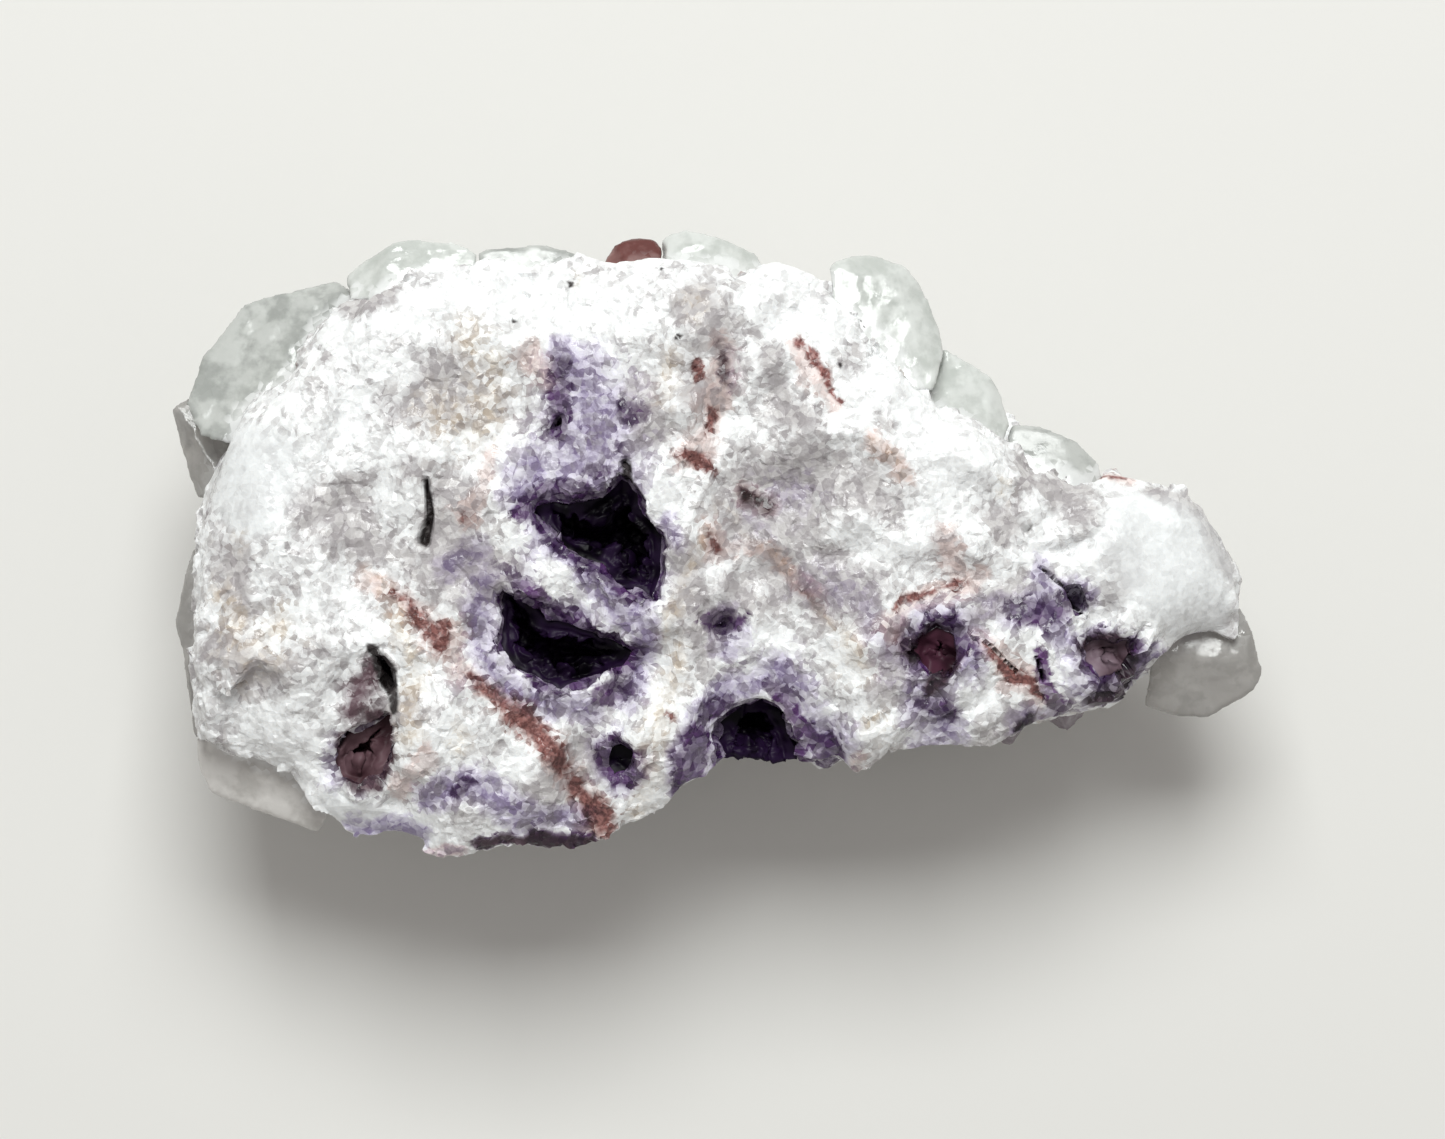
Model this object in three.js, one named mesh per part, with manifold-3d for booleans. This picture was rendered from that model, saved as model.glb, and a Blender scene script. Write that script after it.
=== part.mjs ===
// An amethyst crystal specimen, in millimetres, +X along its length and +Z up.
//
// It is a lump of grown-together granular quartz, lying with its broken face upward. The face
// overhangs a smaller underside, whose flat patch is what the specimen rests on. Hollows in
// the face are lined with crusts of dark amethyst points, and glassy quartz crystals stand out
// of the sides and the underside. Each cluster of grown-together crystals sits in a socket of
// its own, with a hairline gap all round it.

import * as THREE from 'three';
import { mergeVertices } from 'three/addons/utils/BufferGeometryUtils.js';
import ManifoldModule from 'manifold-3d';

const manifold = await ManifoldModule();
manifold.setup();

// ---- driving dimensions ----

const GAP = 0.3;                 // between a crystal and its socket, and a crust and its hollow
const STATION_PITCH = 2.1;       // spacing of the body's cross-sections along X
const FACE_POINTS = 16;          // points of a cross-section over the broken face
const FLANK_POINTS = 6;          // and down each side
const UNDERSIDE_POINTS = 4;      // and across the underside
const CROWN = 3.6;               // how far the face rises between its near and far rims
// The flat plates that broken quartz parts along, and their slope to the surface around them.
const FACE_PLATES = { size: 4.6, tilt: 0.28 };
const SIDE_PLATES = { size: 8.0, tilt: 0.5 };
const SLIDE = 1.0;               // how far the corners of the plates wander along the surface
const BASE_SINK = 1.2;           // how far the untrimmed underside reaches below the base
const SLIVER = 0.01;             // corners closer together than this are one
const CRUST_THICKNESS = 0.9;
const POINT_HEIGHT = 0.45;       // of an amethyst point, as a share of its cell
const QUARTZ_TIP_ANGLE = THREE.MathUtils.degToRad(51.8);   // tip face to the crystal's axis
const CROWDED_TAPER = 0.27;      // how fast a crowded crystal draws in below its outline
const END_ROUNDING = 0.9;        // how far the body's ends bulge out along X

// The rims of the broken face, as [x, y, z] from the left end to the right end.
const FAR_RIM = [
  [-37.8, 3.2, 22.0], [-37.0, 9.4, 22.0], [-32.4, 11.3, 23.0], [-29.8, 13.6, 23.5],
  [-29.2, 17.2, 23.0], [-27.2, 19.8, 22.5], [-20.1, 20.2, 23.5], [-11.4, 20.8, 24.5],
  [-1.0, 20.4, 25.0], [3.1, 21.2, 24.5], [7.7, 20.3, 24.0], [9.6, 19.0, 24.0],
  [10.9, 16.4, 24.0], [13.9, 13.1, 24.0], [17.9, 9.3, 24.0], [20.9, 8.0, 23.5],
  [22.4, 6.4, 22.5], [25.4, 5.4, 21.5], [30.4, 6.0, 20.5], [36.4, 3.6, 19.5],
  [37.5, 1.8, 19.0], [38.4, -1.0, 18.6],
];
const NEAR_RIM = [
  [-37.8, -13.4, 22.0], [-37.0, -14.8, 22.0], [-31.9, -16.4, 21.5], [-30.4, -18.6, 21.0],
  [-28.8, -20.4, 20.5], [-25.3, -21.8, 20.5], [-20.9, -22.2, 20.5], [-12.8, -21.8, 21.0],
  [-6.6, -20.4, 21.5], [-2.4, -19.0, 22.0], [-1.0, -18.0, 22.0], [0.0, -16.0, 21.5],
  [1.7, -14.9, 21.0], [6.2, -14.9, 21.0], [8.6, -15.6, 21.5], [11.0, -15.8, 22.0],
  [13.6, -15.2, 22.0], [19.8, -14.4, 22.0], [25.3, -12.2, 21.5], [31.0, -11.2, 21.0],
  [32.6, -7.8, 19.5], [35.6, -6.2, 19.0], [38.4, -5.9, 18.2],
];

// The underside's near and far edges and its height, as [x, near y, far y, z].
const UNDERSIDE = [
  [-37.8, -9.0, 1.0, 12.5], [-33.0, -9.5, 6.0, 7.0], [-27.0, -8.0, 9.0, 2.0],
  [-21.0, -7.0, 10.0, -BASE_SINK], [0.0, -6.5, 10.5, -BASE_SINK], [10.0, -6.0, 8.5, -BASE_SINK],
  [17.0, -5.0, 6.0, 0.8], [24.0, -5.5, 4.0, 4.0], [31.0, -5.0, 2.4, 8.5],
  [38.4, -4.4, -1.8, 13.0],
];

// How far the near and far sides bulge out between rim and underside, as [x, near, far].
const BULGES = [
  [-37.8, 1.8, 4.0], [-35.0, 2.0, 6.4], [-31.0, 1.4, 6.0], [-28.5, 0.8, 2.8],
  [-20.0, 0.8, 2.8], [-8.0, 1.0, 2.6], [-1.0, 2.0, 3.4], [4.0, 2.4, 2.4], [8.0, 2.2, 2.4],
  [10.5, 1.6, 5.4], [14.0, 1.2, 6.6], [18.0, 1.0, 5.0], [22.0, 0.9, 3.0], [26.0, 0.8, 2.6],
  [30.0, 1.2, 1.0], [34.0, 1.2, 0.8], [38.4, 0.6, 0.6],
];

// Rounded lumps and shallow dips of the face, as [x, y, reach along X, reach along Y, height].
const LUMPS = [
  [-34.0, 5.6, 3.4, 4.4, 1.5], [-31.0, 9.5, 4.0, 3.0, 0.9], [-25.5, 14.5, 4.6, 4.6, 1.0],
  [-17.0, 17.0, 5.0, 3.2, 0.7], [-6.5, 17.0, 5.0, 3.4, 0.8], [3.6, 17.6, 4.4, 3.0, 0.9],
  [17.6, 7.0, 4.6, 3.0, 0.8], [32.8, -0.4, 5.0, 5.2, 2.0], [-33.0, -11.0, 4.4, 4.0, 1.0],
  [-21.0, -15.0, 3.2, 2.6, 0.8], [-13.5, -0.2, 2.0, 1.2, 0.9], [21.0, -8.4, 3.0, 2.8, 0.7],
  [10.0, -13.0, 2.2, 2.4, 0.8], [-35.5, -0.4, 2.4, 1.2, -1.0], [-9.0, -4.0, 6.0, 6.0, -1.1],
  [26.6, -0.6, 1.4, 4.4, -1.3], [5.6, 4.0, 3.4, 2.6, -0.8], [15.0, 13.0, 3.0, 3.0, -0.7],
  [-27.5, 2.4, 3.6, 2.6, -0.6],
];

// The hollows of the face. An outline's points go round its centre, and lean is how far the
// hollow's deep part is shifted from its mouth.
const HOLLOWS = [
  {
    name: 'amethyst_upper_hollow', centre: [-6.9, 0.4], depth: 10.5, lean: [0.4, 0.2],
    outline: [
      [-13.9, 2.7], [-11.4, 3.0], [-8.4, 3.8], [-7.2, 4.6], [-6.9, 5.6], [-5.7, 5.6],
      [-5.6, 3.0], [-4.2, 1.2], [-2.8, -0.5], [-3.8, -2.5], [-4.0, -4.5], [-5.0, -4.7],
      [-6.8, -3.4], [-8.4, -1.7], [-9.9, -1.4], [-12.1, 0.8], [-13.6, 1.6],
    ],
  },
  {
    name: 'amethyst_lower_hollow', centre: [-12.2, -8.0], depth: 10.0, lean: [-0.3, 0.6],
    outline: [
      [-15.8, -2.5], [-15.0, -2.3], [-14.1, -3.8], [-11.4, -5.4], [-8.1, -6.3], [-6.2, -7.2],
      [-5.1, -8.5], [-8.4, -10.1], [-9.9, -11.2], [-11.4, -11.1], [-15.0, -9.4],
      [-16.3, -8.1], [-15.9, -6.1],
    ],
  },
  {
    name: 'amethyst_notch', centre: [2.9, -14.2], depth: 8.0, lean: [0.2, 2.0],
    outline: [
      [-0.1, -13.2], [1.5, -11.8], [2.9, -11.2], [4.4, -11.4], [5.6, -12.6], [6.3, -14.4],
      [6.2, -16.4], [3.0, -17.0], [-0.4, -16.6],
    ],
  },
  {
    name: 'amethyst_left_pocket', centre: [-25.7, -15.4], depth: 6.5, lean: [0.3, 0.8],
    outline: [
      [-24.0, -12.1], [-23.3, -12.4], [-23.2, -14.2], [-23.6, -16.0], [-24.5, -17.5],
      [-25.6, -18.2], [-27.1, -18.1], [-28.2, -17.1], [-28.5, -15.6], [-27.5, -14.2],
      [-25.6, -13.2],
    ],
  },
  {
    name: 'amethyst_right_pocket', centre: [16.3, -8.0], depth: 5.5, lean: [0.2, 0.5],
    outline: [
      [13.8, -8.4], [14.7, -7.0], [15.8, -6.0], [17.2, -5.7], [18.2, -7.2], [17.9, -8.8],
      [16.8, -10.2], [15.7, -10.4], [14.8, -9.6],
    ],
  },
  {
    name: 'amethyst_far_right_pocket', centre: [29.0, -8.9], depth: 5.0, lean: [-0.2, 0.8],
    outline: [
      [26.6, -7.2], [27.2, -6.5], [30.4, -6.6], [31.1, -7.9], [30.8, -9.6], [29.6, -11.0],
      [27.8, -10.8], [27.1, -9.0],
    ],
  },
  {
    name: 'amethyst_small_hollow', centre: [-7.0, -15.7], depth: 5.0, lean: [0.0, 0.3],
    outline: [
      [-8.3, -14.7], [-7.2, -14.2], [-6.1, -14.5], [-5.2, -15.0], [-5.8, -16.0],
      [-6.2, -17.0], [-7.6, -17.3], [-8.3, -16.2],
    ],
  },
];

// Narrow clefts of the face, bare of crystals.
const CLEFTS = [
  {
    name: 'upper_cleft', centre: [-11.7, 8.8], depth: 4.0, lean: [0.2, 0.3],
    outline: [[-12.7, 7.7], [-12.3, 9.3], [-11.4, 10.1], [-10.8, 9.4], [-11.3, 8.0], [-12.1, 7.3]],
  },
  {
    name: 'left_cleft', centre: [-24.2, -9.6], depth: 4.0, lean: [0.1, 0.2],
    outline: [[-25.3, -7.9], [-24.2, -7.9], [-23.3, -9.0], [-23.4, -11.3], [-24.4, -11.4], [-24.9, -9.8]],
  },
  {
    name: 'middle_cleft', centre: [0.7, -6.1], depth: 2.4, lean: [0.0, 0.3],
    outline: [[-0.7, -6.3], [0.2, -5.3], [1.8, -5.4], [2.0, -6.0], [0.8, -6.8], [-0.5, -7.0]],
  },
  {
    name: 'right_cleft', centre: [26.7, -4.3], depth: 3.0, lean: [0.0, 0.0],
    outline: [[25.9, -2.9], [26.8, -2.6], [27.5, -4.3], [27.4, -5.6], [26.5, -5.5], [26.1, -4.4]],
  },
];

// The levels of deep hollows, pockets and clefts below their mouths, each as how deep it is and
// how wide it is against the mouth.
const DEEP_LEVELS = [[0.0, 1.0], [0.3, 1.07], [0.62, 0.96], [0.88, 0.64]];
const POCKET_LEVELS = [[0.0, 1.0], [0.4, 1.06], [0.82, 0.76]];
const CLEFT_LEVELS = [[0.0, 1.0], [0.6, 0.75]];
const DEEP = 7;                  // a hollow deeper than this has the deep levels

// The glassy crystals, cluster by cluster. A free crystal has the place its prism starts from,
// the way it points, its turn about that way, its radius and its height to the tip. A crowded
// one has the outline it shows from above and its level, the faces that top it, each as a place
// and how far it leans along X and Y, and the foot and turn of the tip that it ends in below.
const CLUSTERS = [
  {
    name: 'quartz_upper_left',
    crystals: [
      {
        outline: [
          [-39.1, 11.0], [-38.3, 14.6], [-35.2, 18.7], [-28.3, 20.6], [-26.4, 17.9],
          [-28.6, 11.1], [-34.5, 8.2], [-37.9, 8.9],
        ],
        faces: [
          [-33.0, 15.0, 20.6, -0.22, 0.26], [-36.1, 16.0, 20.3, -0.9, 0.75],
          [-31.5, 18.7, 20.2, -0.15, 0.9],
        ],
        foot: [-32.6, 12.6, 5.0], turn: 20, level: 19.0,
      },
    ],
  },
  {
    name: 'quartz_top_left_rim',
    crystals: [
      {
        outline: [
          [-28.0, 20.6], [-26.7, 21.7], [-23.4, 23.0], [-19.3, 23.1], [-17.6, 22.0],
          [-18.2, 18.6], [-27.1, 18.6],
        ],
        faces: [[-21.0, 21.3, 22.4, 0.05, 0.35], [-25.6, 20.6, 22.1, -0.8, 0.6]],
        foot: [-22.4, 17.6, 10.0], turn: 50, level: 21.8,
      },
    ],
  },
  {
    name: 'quartz_top_middle_rim',
    crystals: [
      {
        outline: [
          [-17.6, 22.2], [-13.0, 22.5], [-11.3, 22.3], [-8.7, 21.5], [-8.5, 18.6], [-17.4, 18.6],
        ],
        faces: [[-14.5, 21.4, 23.0, -0.05, 0.3], [-10.6, 21.2, 23.1, 0.25, 0.5]],
        foot: [-13.0, 17.6, 12.0], turn: 10, level: 22.6,
      },
    ],
  },
  {
    name: 'quartz_stained_red',
    crystals: [
      {
        outline: [
          [-8.4, 21.5], [-7.6, 22.5], [-6.3, 23.0], [-4.5, 23.0], [-3.9, 22.1], [-4.8, 18.8],
          [-7.8, 18.8],
        ],
        faces: [[-6.2, 21.6, 23.7, 0.1, 0.5], [-7.3, 21.6, 23.4, -0.8, 0.3]],
        foot: [-6.2, 18.2, 14.0], turn: 30, level: 23.0,
      },
    ],
  },
  {
    name: 'quartz_top_hump',
    crystals: [
      {
        outline: [
          [-4.4, 22.7], [-3.5, 23.4], [-2.4, 23.7], [-1.1, 23.5], [3.1, 22.0], [3.7, 21.0],
          [2.6, 18.2], [-3.3, 18.2],
        ],
        faces: [
          [-0.8, 21.6, 24.1, 0.05, 0.4], [-2.9, 22.2, 23.8, -0.4, 0.6],
          [2.2, 21.4, 23.6, 0.5, 0.4],
        ],
        foot: [-0.4, 17.8, 12.0], turn: 0, level: 23.4,
      },
    ],
  },
  {
    name: 'quartz_far_left_side',
    crystals: [
      { from: [-22.6, 12.0, 13.0], points: [-0.25, 0.72, -0.60], turn: 32, radius: 4.2, height: 11.0 },
      { from: [-15.4, 12.2, 11.6], points: [-0.05, 0.80, -0.52], turn: 50, radius: 3.9, height: 10.4 },
    ],
  },
  {
    name: 'quartz_far_side',
    crystals: [
      { from: [-6.4, 12.2, 11.0], points: [0.10, 0.78, -0.56], turn: 26, radius: 4.3, height: 10.8 },
      { from: [1.0, 11.6, 11.0], points: [0.16, 0.78, -0.56], turn: 8, radius: 3.8, height: 10.0 },
    ],
  },
  {
    name: 'quartz_upper_right',
    crystals: [
      {
        outline: [
          [8.7, 20.9], [10.0, 21.7], [11.5, 22.0], [14.1, 21.1], [15.5, 19.6], [16.9, 16.2],
          [17.1, 14.3], [15.9, 11.8], [12.2, 12.1], [9.1, 16.9],
        ],
        faces: [
          [12.0, 18.2, 23.6, 0.10, 0.12], [15.4, 17.0, 23.0, 0.6, 0.3],
          [11.2, 20.8, 23.1, 0.1, 0.7],
        ],
        foot: [12.2, 13.4, 8.0], turn: 15, level: 22.6,
      },
    ],
  },
  {
    name: 'quartz_right_shelf',
    crystals: [
      {
        outline: [
          [17.2, 15.0], [20.5, 13.1], [21.4, 11.8], [22.1, 9.4], [21.2, 7.9], [18.2, 8.6],
          [15.4, 12.0], [15.9, 14.9],
        ],
        faces: [[19.2, 11.8, 21.3, 0.25, 0.3], [21.0, 10.8, 20.8, 0.9, 0.3]],
        foot: [18.0, 9.8, 10.0], turn: 40, level: 20.4,
      },
    ],
  },
  {
    name: 'quartz_right_ledge',
    crystals: [
      {
        outline: [
          [21.9, 9.6], [24.3, 9.3], [27.1, 8.2], [28.7, 6.7], [29.1, 3.6], [25.7, 3.2],
          [22.2, 6.4],
        ],
        faces: [[24.8, 7.4, 20.3, 0.05, 0.3], [27.6, 6.6, 19.9, 0.45, 0.35]],
        foot: [25.2, 4.8, 10.0], turn: 25, level: 19.4,
      },
    ],
  },
  {
    name: 'quartz_far_right_side',
    crystals: [
      { from: [17.4, 3.6, 9.8], points: [0.50, 0.58, -0.56], turn: 20, radius: 3.7, height: 9.8 },
      { from: [22.6, 0.8, 9.8], points: [0.72, 0.34, -0.50], turn: 42, radius: 3.1, height: 9.0 },
    ],
  },
  {
    name: 'quartz_left_tip',
    crystals: [
      {
        outline: [
          [-40.9, 11.1], [-39.6, 11.9], [-36.8, 11.2], [-36.4, 7.7], [-38.0, 4.3],
          [-39.1, 4.3], [-40.4, 8.6],
        ],
        faces: [[-38.9, 9.4, 17.2, 0.1, 0.3], [-39.6, 8.8, 17.0, -1.1, -0.4]],
        foot: [-37.4, 8.0, 8.0], turn: 0, level: 16.4,
      },
    ],
  },
  {
    name: 'quartz_left_end',
    crystals: [
      {
        outline: [
          [-39.4, 1.0], [-40.7, -4.9], [-38.7, -13.7], [-35.0, -12.6], [-34.4, -5.1],
          [-36.0, 1.0],
        ],
        faces: [[-38.0, -6.0, 18.6, -0.7, 0.05], [-38.2, -1.6, 18.2, -0.6, 0.5]],
        foot: [-35.2, -5.6, 6.5], turn: 60, level: 18.0,
      },
    ],
  },
  {
    name: 'quartz_lower_left',
    crystals: [
      {
        outline: [
          [-38.7, -13.7], [-38.7, -16.2], [-37.4, -18.1], [-29.4, -20.9], [-28.8, -18.6],
          [-31.4, -14.1], [-35.8, -12.0],
        ],
        faces: [[-34.6, -16.2, 18.9, -0.2, -0.4], [-37.6, -15.6, 18.2, -0.9, -0.2]],
        foot: [-32.8, -14.4, 6.0], turn: 35, level: 17.8,
      },
    ],
  },
  {
    name: 'quartz_lower_right',
    crystals: [
      {
        outline: [
          [34.1, -3.3], [38.6, -3.3], [39.6, -5.0], [40.5, -6.9], [41.1, -8.5], [40.9, -9.4],
          [39.8, -10.5], [37.0, -12.3], [34.8, -12.2], [32.1, -11.3], [32.7, -8.6],
        ],
        faces: [
          [37.0, -6.5, 17.0, 0.05, 0.10], [37.0, -8.4, 16.9, 0.0, -0.5],
          [40.0, -8.0, 16.6, 0.8, -0.1],
        ],
        foot: [35.4, -7.6, 6.5], turn: 10, level: 15.6,
      },
      { from: [28.0, -3.8, 9.6], points: [0.70, -0.14, -0.64], turn: 12, radius: 3.1, height: 8.8 },
    ],
  },
  {
    name: 'quartz_lower_right_rim',
    crystals: [
      { from: [21.6, -9.8, 15.6], points: [0.10, -0.86, -0.14], turn: 12, radius: 2.3, height: 4.6 },
      { from: [25.4, -8.8, 15.2], points: [0.22, -0.86, -0.10], turn: 38, radius: 2.3, height: 4.6 },
    ],
  },
  {
    name: 'quartz_near_side',
    crystals: [
      { from: [-22.4, -9.4, 12.2], points: [-0.25, -0.72, -0.62], turn: 8, radius: 3.4, height: 9.6 },
      { from: [-15.4, -8.8, 11.0], points: [-0.05, -0.78, -0.60], turn: 22, radius: 4.3, height: 11.0 },
      { from: [-8.0, -8.4, 10.2], points: [0.12, -0.72, -0.64], turn: 46, radius: 3.7, height: 9.8 },
    ],
  },
  {
    name: 'quartz_near_right_side',
    crystals: [
      { from: [11.2, -7.2, 10.4], points: [0.20, -0.74, -0.60], turn: 30, radius: 3.9, height: 8.2 },
      { from: [17.4, -5.4, 9.6], points: [0.35, -0.62, -0.62], turn: 14, radius: 3.4, height: 8.4 },
    ],
  },
];

// ---- small helpers ----

// A repeatable number from 0 to 1 for any one to three numbers.
function chance(a, b = 0, c = 0) {
  const wave = Math.sin(a * 12.9898 + b * 78.233 + c * 37.719) * 43758.5453;
  return wave - Math.floor(wave);
}

// The columns of a table at x, read between the rows on either side of it.
function readTable(table, x) {
  const after = table.findIndex((row) => row[0] >= x);
  if (after === 0) return table[0].slice(1);
  if (after < 0) return table[table.length - 1].slice(1);
  const low = table[after - 1];
  const high = table[after];
  const share = (x - low[0]) / (high[0] - low[0]);
  return low.slice(1).map((value, column) => value + (high[column + 1] - value) * share);
}

// How far a surface point lies off its plate's middle: broken quartz parts along small flat
// plates, each tilted its own way.
function plateOffset(x, y, z, { size, tilt }) {
  const cell = [x, y, z].map((value) => Math.floor(value / size));
  let nearest = Infinity;
  let offset = 0;
  for (let step = 0; step < 27; step += 1) {
    const near = [step % 3, Math.floor(step / 3) % 3, Math.floor(step / 9)];
    const home = cell.map((value, axis) => value + near[axis] - 1);
    const seed = home.map((value, axis) => (
      (value + chance(home[0] + 17 * axis, home[1], home[2])) * size
    ));
    const apart = [x - seed[0], y - seed[1], z - seed[2]];
    const distance = Math.hypot(...apart);
    if (distance < nearest) {
      nearest = distance;
      offset = apart.reduce((total, value, axis) => (
        total + value * (chance(home[2], home[0] + 31 * axis, home[1]) - 0.5) * 2 * tilt
      ), (chance(home[1], home[2], home[0]) - 0.5) * size * tilt);
    }
  }
  return offset;
}

// A closed skin over rings of the same number of points, with a fan over each open end. When
// peak is given, each four-sided cell between two rings may be raised to a point.
function skin(rings, peak = () => null) {
  const points = rings.flat();
  const triangles = [];
  const size = rings[0].length;
  rings.slice(0, -1).forEach((ring, level) => {
    ring.forEach((_, place) => {
      const corners = [
        level * size + place,
        level * size + (place + 1) % size,
        (level + 1) * size + (place + 1) % size,
        (level + 1) * size + place,
      ];
      const top = peak(level, place, corners.map((corner) => points[corner]));
      if (top) {
        points.push(top);
        corners.forEach((corner, side) => {
          triangles.push(corner, corners[(side + 1) % 4], points.length - 1);
        });
      } else {
        triangles.push(corners[0], corners[1], corners[2], corners[0], corners[2], corners[3]);
      }
    });
  });
  [0, rings.length - 1].forEach((level) => {
    points.push(middleOf(rings[level]));
    for (let place = 0; place < size; place += 1) {
      const here = level * size + place;
      const next = level * size + (place + 1) % size;
      const pair = level === 0 ? [next, here] : [here, next];
      triangles.push(...pair, points.length - 1);
    }
  });
  return solidOf(points, triangles);
}

function middleOf(points) {
  const middle = new THREE.Vector3();
  points.forEach((point) => middle.add(point));
  return middle.divideScalar(points.length);
}

// A solid from points and triangles, turned the right way out.
function solidOf(points, triangles) {
  let volume = 0;
  for (let start = 0; start < triangles.length; start += 3) {
    const [a, b, c] = triangles.slice(start, start + 3).map((index) => points[index]);
    volume += a.dot(b.clone().cross(c));
  }
  const order = volume < 0 ? triangles.slice().reverse() : triangles;
  return new manifold.Manifold(new manifold.Mesh({
    numProp: 3,
    vertProperties: Float32Array.from(points.flatMap((point) => point.toArray())),
    triVerts: Uint32Array.from(order),
  }));
}

// A solid from one of three.js's own closed geometries.
function solidFromGeometry(geometry) {
  geometry.deleteAttribute('normal');
  geometry.deleteAttribute('uv');
  const merged = mergeVertices(geometry);
  return new manifold.Manifold(new manifold.Mesh({
    numProp: 3,
    vertProperties: merged.attributes.position.array,
    triVerts: Uint32Array.from(merged.index.array),
  }));
}

function joined(solids) {
  return solids.slice(1).reduce((total, solid) => total.add(solid), solids[0]);
}

// The largest of the bodies that a cut leaves.
function mainBody(solid) {
  return solid.decompose().reduce((best, body) => (body.volume() > best.volume() ? body : best));
}

// A named mesh of a solid, with the hair-thin slivers that a cut leaves closed up.
function meshOf(name, solid, material) {
  const { vertProperties, triVerts, numProp } = solid.simplify(SLIVER).getMesh();
  const geometry = new THREE.BufferGeometry();
  if (numProp !== 3) throw new Error(`${name} has more than positions`);
  geometry.setAttribute('position', new THREE.BufferAttribute(Float32Array.from(vertProperties), 3));
  geometry.setIndex(new THREE.BufferAttribute(Uint32Array.from(triVerts), 1));
  geometry.computeVertexNormals();
  const mesh = new THREE.Mesh(geometry, material);
  mesh.name = name;
  return mesh;
}

// ---- the body ----

// The height of the broken face: a low crown between its rims, with lumps and dips on it.
function faceHeight(x, y) {
  const [nearY, nearZ] = readTable(NEAR_RIM, x);
  const [farY, farZ] = readTable(FAR_RIM, x);
  const across = THREE.MathUtils.clamp((y - nearY) / (farY - nearY), 0, 1);
  const width = Math.min(1, (farY - nearY) / 30);
  const crown = CROWN * width * Math.sqrt(Math.sin(Math.PI * across));
  const lumps = LUMPS.reduce((total, [lumpX, lumpY, reachX, reachY, height]) => (
    total + height * Math.exp(-(((x - lumpX) / reachX) ** 2) - ((y - lumpY) / reachY) ** 2)
  ), 0);
  return nearZ + (farZ - nearZ) * across + crown + lumps * Math.sqrt(Math.sin(Math.PI * across));
}

// One cross-section of the body: over the face, down the far side, back under and up again.
function section(x) {
  const [nearY, nearZ] = readTable(NEAR_RIM, x);
  const [farY, farZ] = readTable(FAR_RIM, x);
  const [underNearY, underFarY, underZ] = readTable(UNDERSIDE, x);
  const [nearBulge, farBulge] = readTable(BULGES, x);
  const points = [];
  for (let place = 0; place < FACE_POINTS; place += 1) {
    const y = THREE.MathUtils.lerp(nearY, farY, place / (FACE_POINTS - 1));
    points.push([y, faceHeight(x, y)]);
  }
  for (let place = 1; place < FLANK_POINTS; place += 1) {
    const down = place / FLANK_POINTS;
    const bulge = farBulge * Math.sin(Math.PI * down ** 1.5);
    points.push([
      THREE.MathUtils.lerp(farY, underFarY, down ** 1.5) + bulge,
      THREE.MathUtils.lerp(farZ, underZ, down),
    ]);
  }
  for (let place = 0; place < UNDERSIDE_POINTS; place += 1) {
    points.push([THREE.MathUtils.lerp(underFarY, underNearY, place / (UNDERSIDE_POINTS - 1)), underZ]);
  }
  for (let place = 1; place < FLANK_POINTS; place += 1) {
    const up = place / FLANK_POINTS;
    const bulge = nearBulge * Math.sin(Math.PI * up ** 0.6);
    points.push([
      THREE.MathUtils.lerp(underNearY, nearY, up ** 0.8) - bulge,
      THREE.MathUtils.lerp(underZ, nearZ, up),
    ]);
  }
  return points.map(([y, z]) => new THREE.Vector3(x, y, z));
}

// Whether a place on a cross-section is on a side, away from the rims and the underside.
function onSide(place) {
  const farFoot = FACE_POINTS + FLANK_POINTS - 1;
  const nearFoot = farFoot + UNDERSIDE_POINTS;
  const nearRim = nearFoot + FLANK_POINTS - 1;
  return (place > FACE_POINTS + 1 && place < farFoot) || (place >= nearFoot && place < nearRim - 2);
}

// The same section with every point moved off the smooth surface onto its plate.
function brokenSection(x) {
  const smooth = section(x);
  const middle = middleOf(smooth);
  return smooth.map((point, place) => {
    const before = smooth[(place + smooth.length - 1) % smooth.length];
    const after = smooth[(place + 1) % smooth.length];
    const along = after.clone().sub(before).normalize();
    const outward = new THREE.Vector3(0, along.z, -along.y);
    if (outward.dot(point.clone().sub(middle)) < 0) outward.negate();
    const slide = (chance(x, place) - 0.5) * SLIDE;
    const step = (chance(place, x) - 0.5) * SLIDE;
    const plates = onSide(place) ? SIDE_PLATES : FACE_PLATES;
    return point
      .addScaledVector(outward, plateOffset(point.x, point.y, point.z, plates))
      .addScaledVector(along, slide)
      .add(new THREE.Vector3(step, 0, 0));
  });
}

function bodySolid() {
  const left = NEAR_RIM[0][0];
  const right = NEAR_RIM[NEAR_RIM.length - 1][0];
  const count = Math.round((right - left) / STATION_PITCH);
  const rings = [];
  for (let station = 0; station <= count; station += 1) {
    rings.push(brokenSection(THREE.MathUtils.lerp(left, right, station / count)));
  }
  const capped = [
    shrunk(rings[0], 0.6, -END_ROUNDING),
    shrunk(rings[0], 0.22, -0.6 * END_ROUNDING),
    ...rings,
    shrunk(rings[count], 0.22, 0.6 * END_ROUNDING),
    shrunk(rings[count], 0.6, END_ROUNDING),
  ];
  const floor = new THREE.BoxGeometry(120, 120, 20).translate(0, 0, -10);
  return mainBody(skin(capped).subtract(solidFromGeometry(floor)));
}

// A ring drawn in towards its middle and set out along X, to round the body's ends.
function shrunk(ring, inward, outX) {
  const middle = middleOf(ring);
  return ring.map((point) => {
    const inner = point.clone().lerp(middle, inward);
    inner.x += outX;
    return inner;
  });
}

// ---- the hollows and their crusts ----

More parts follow.
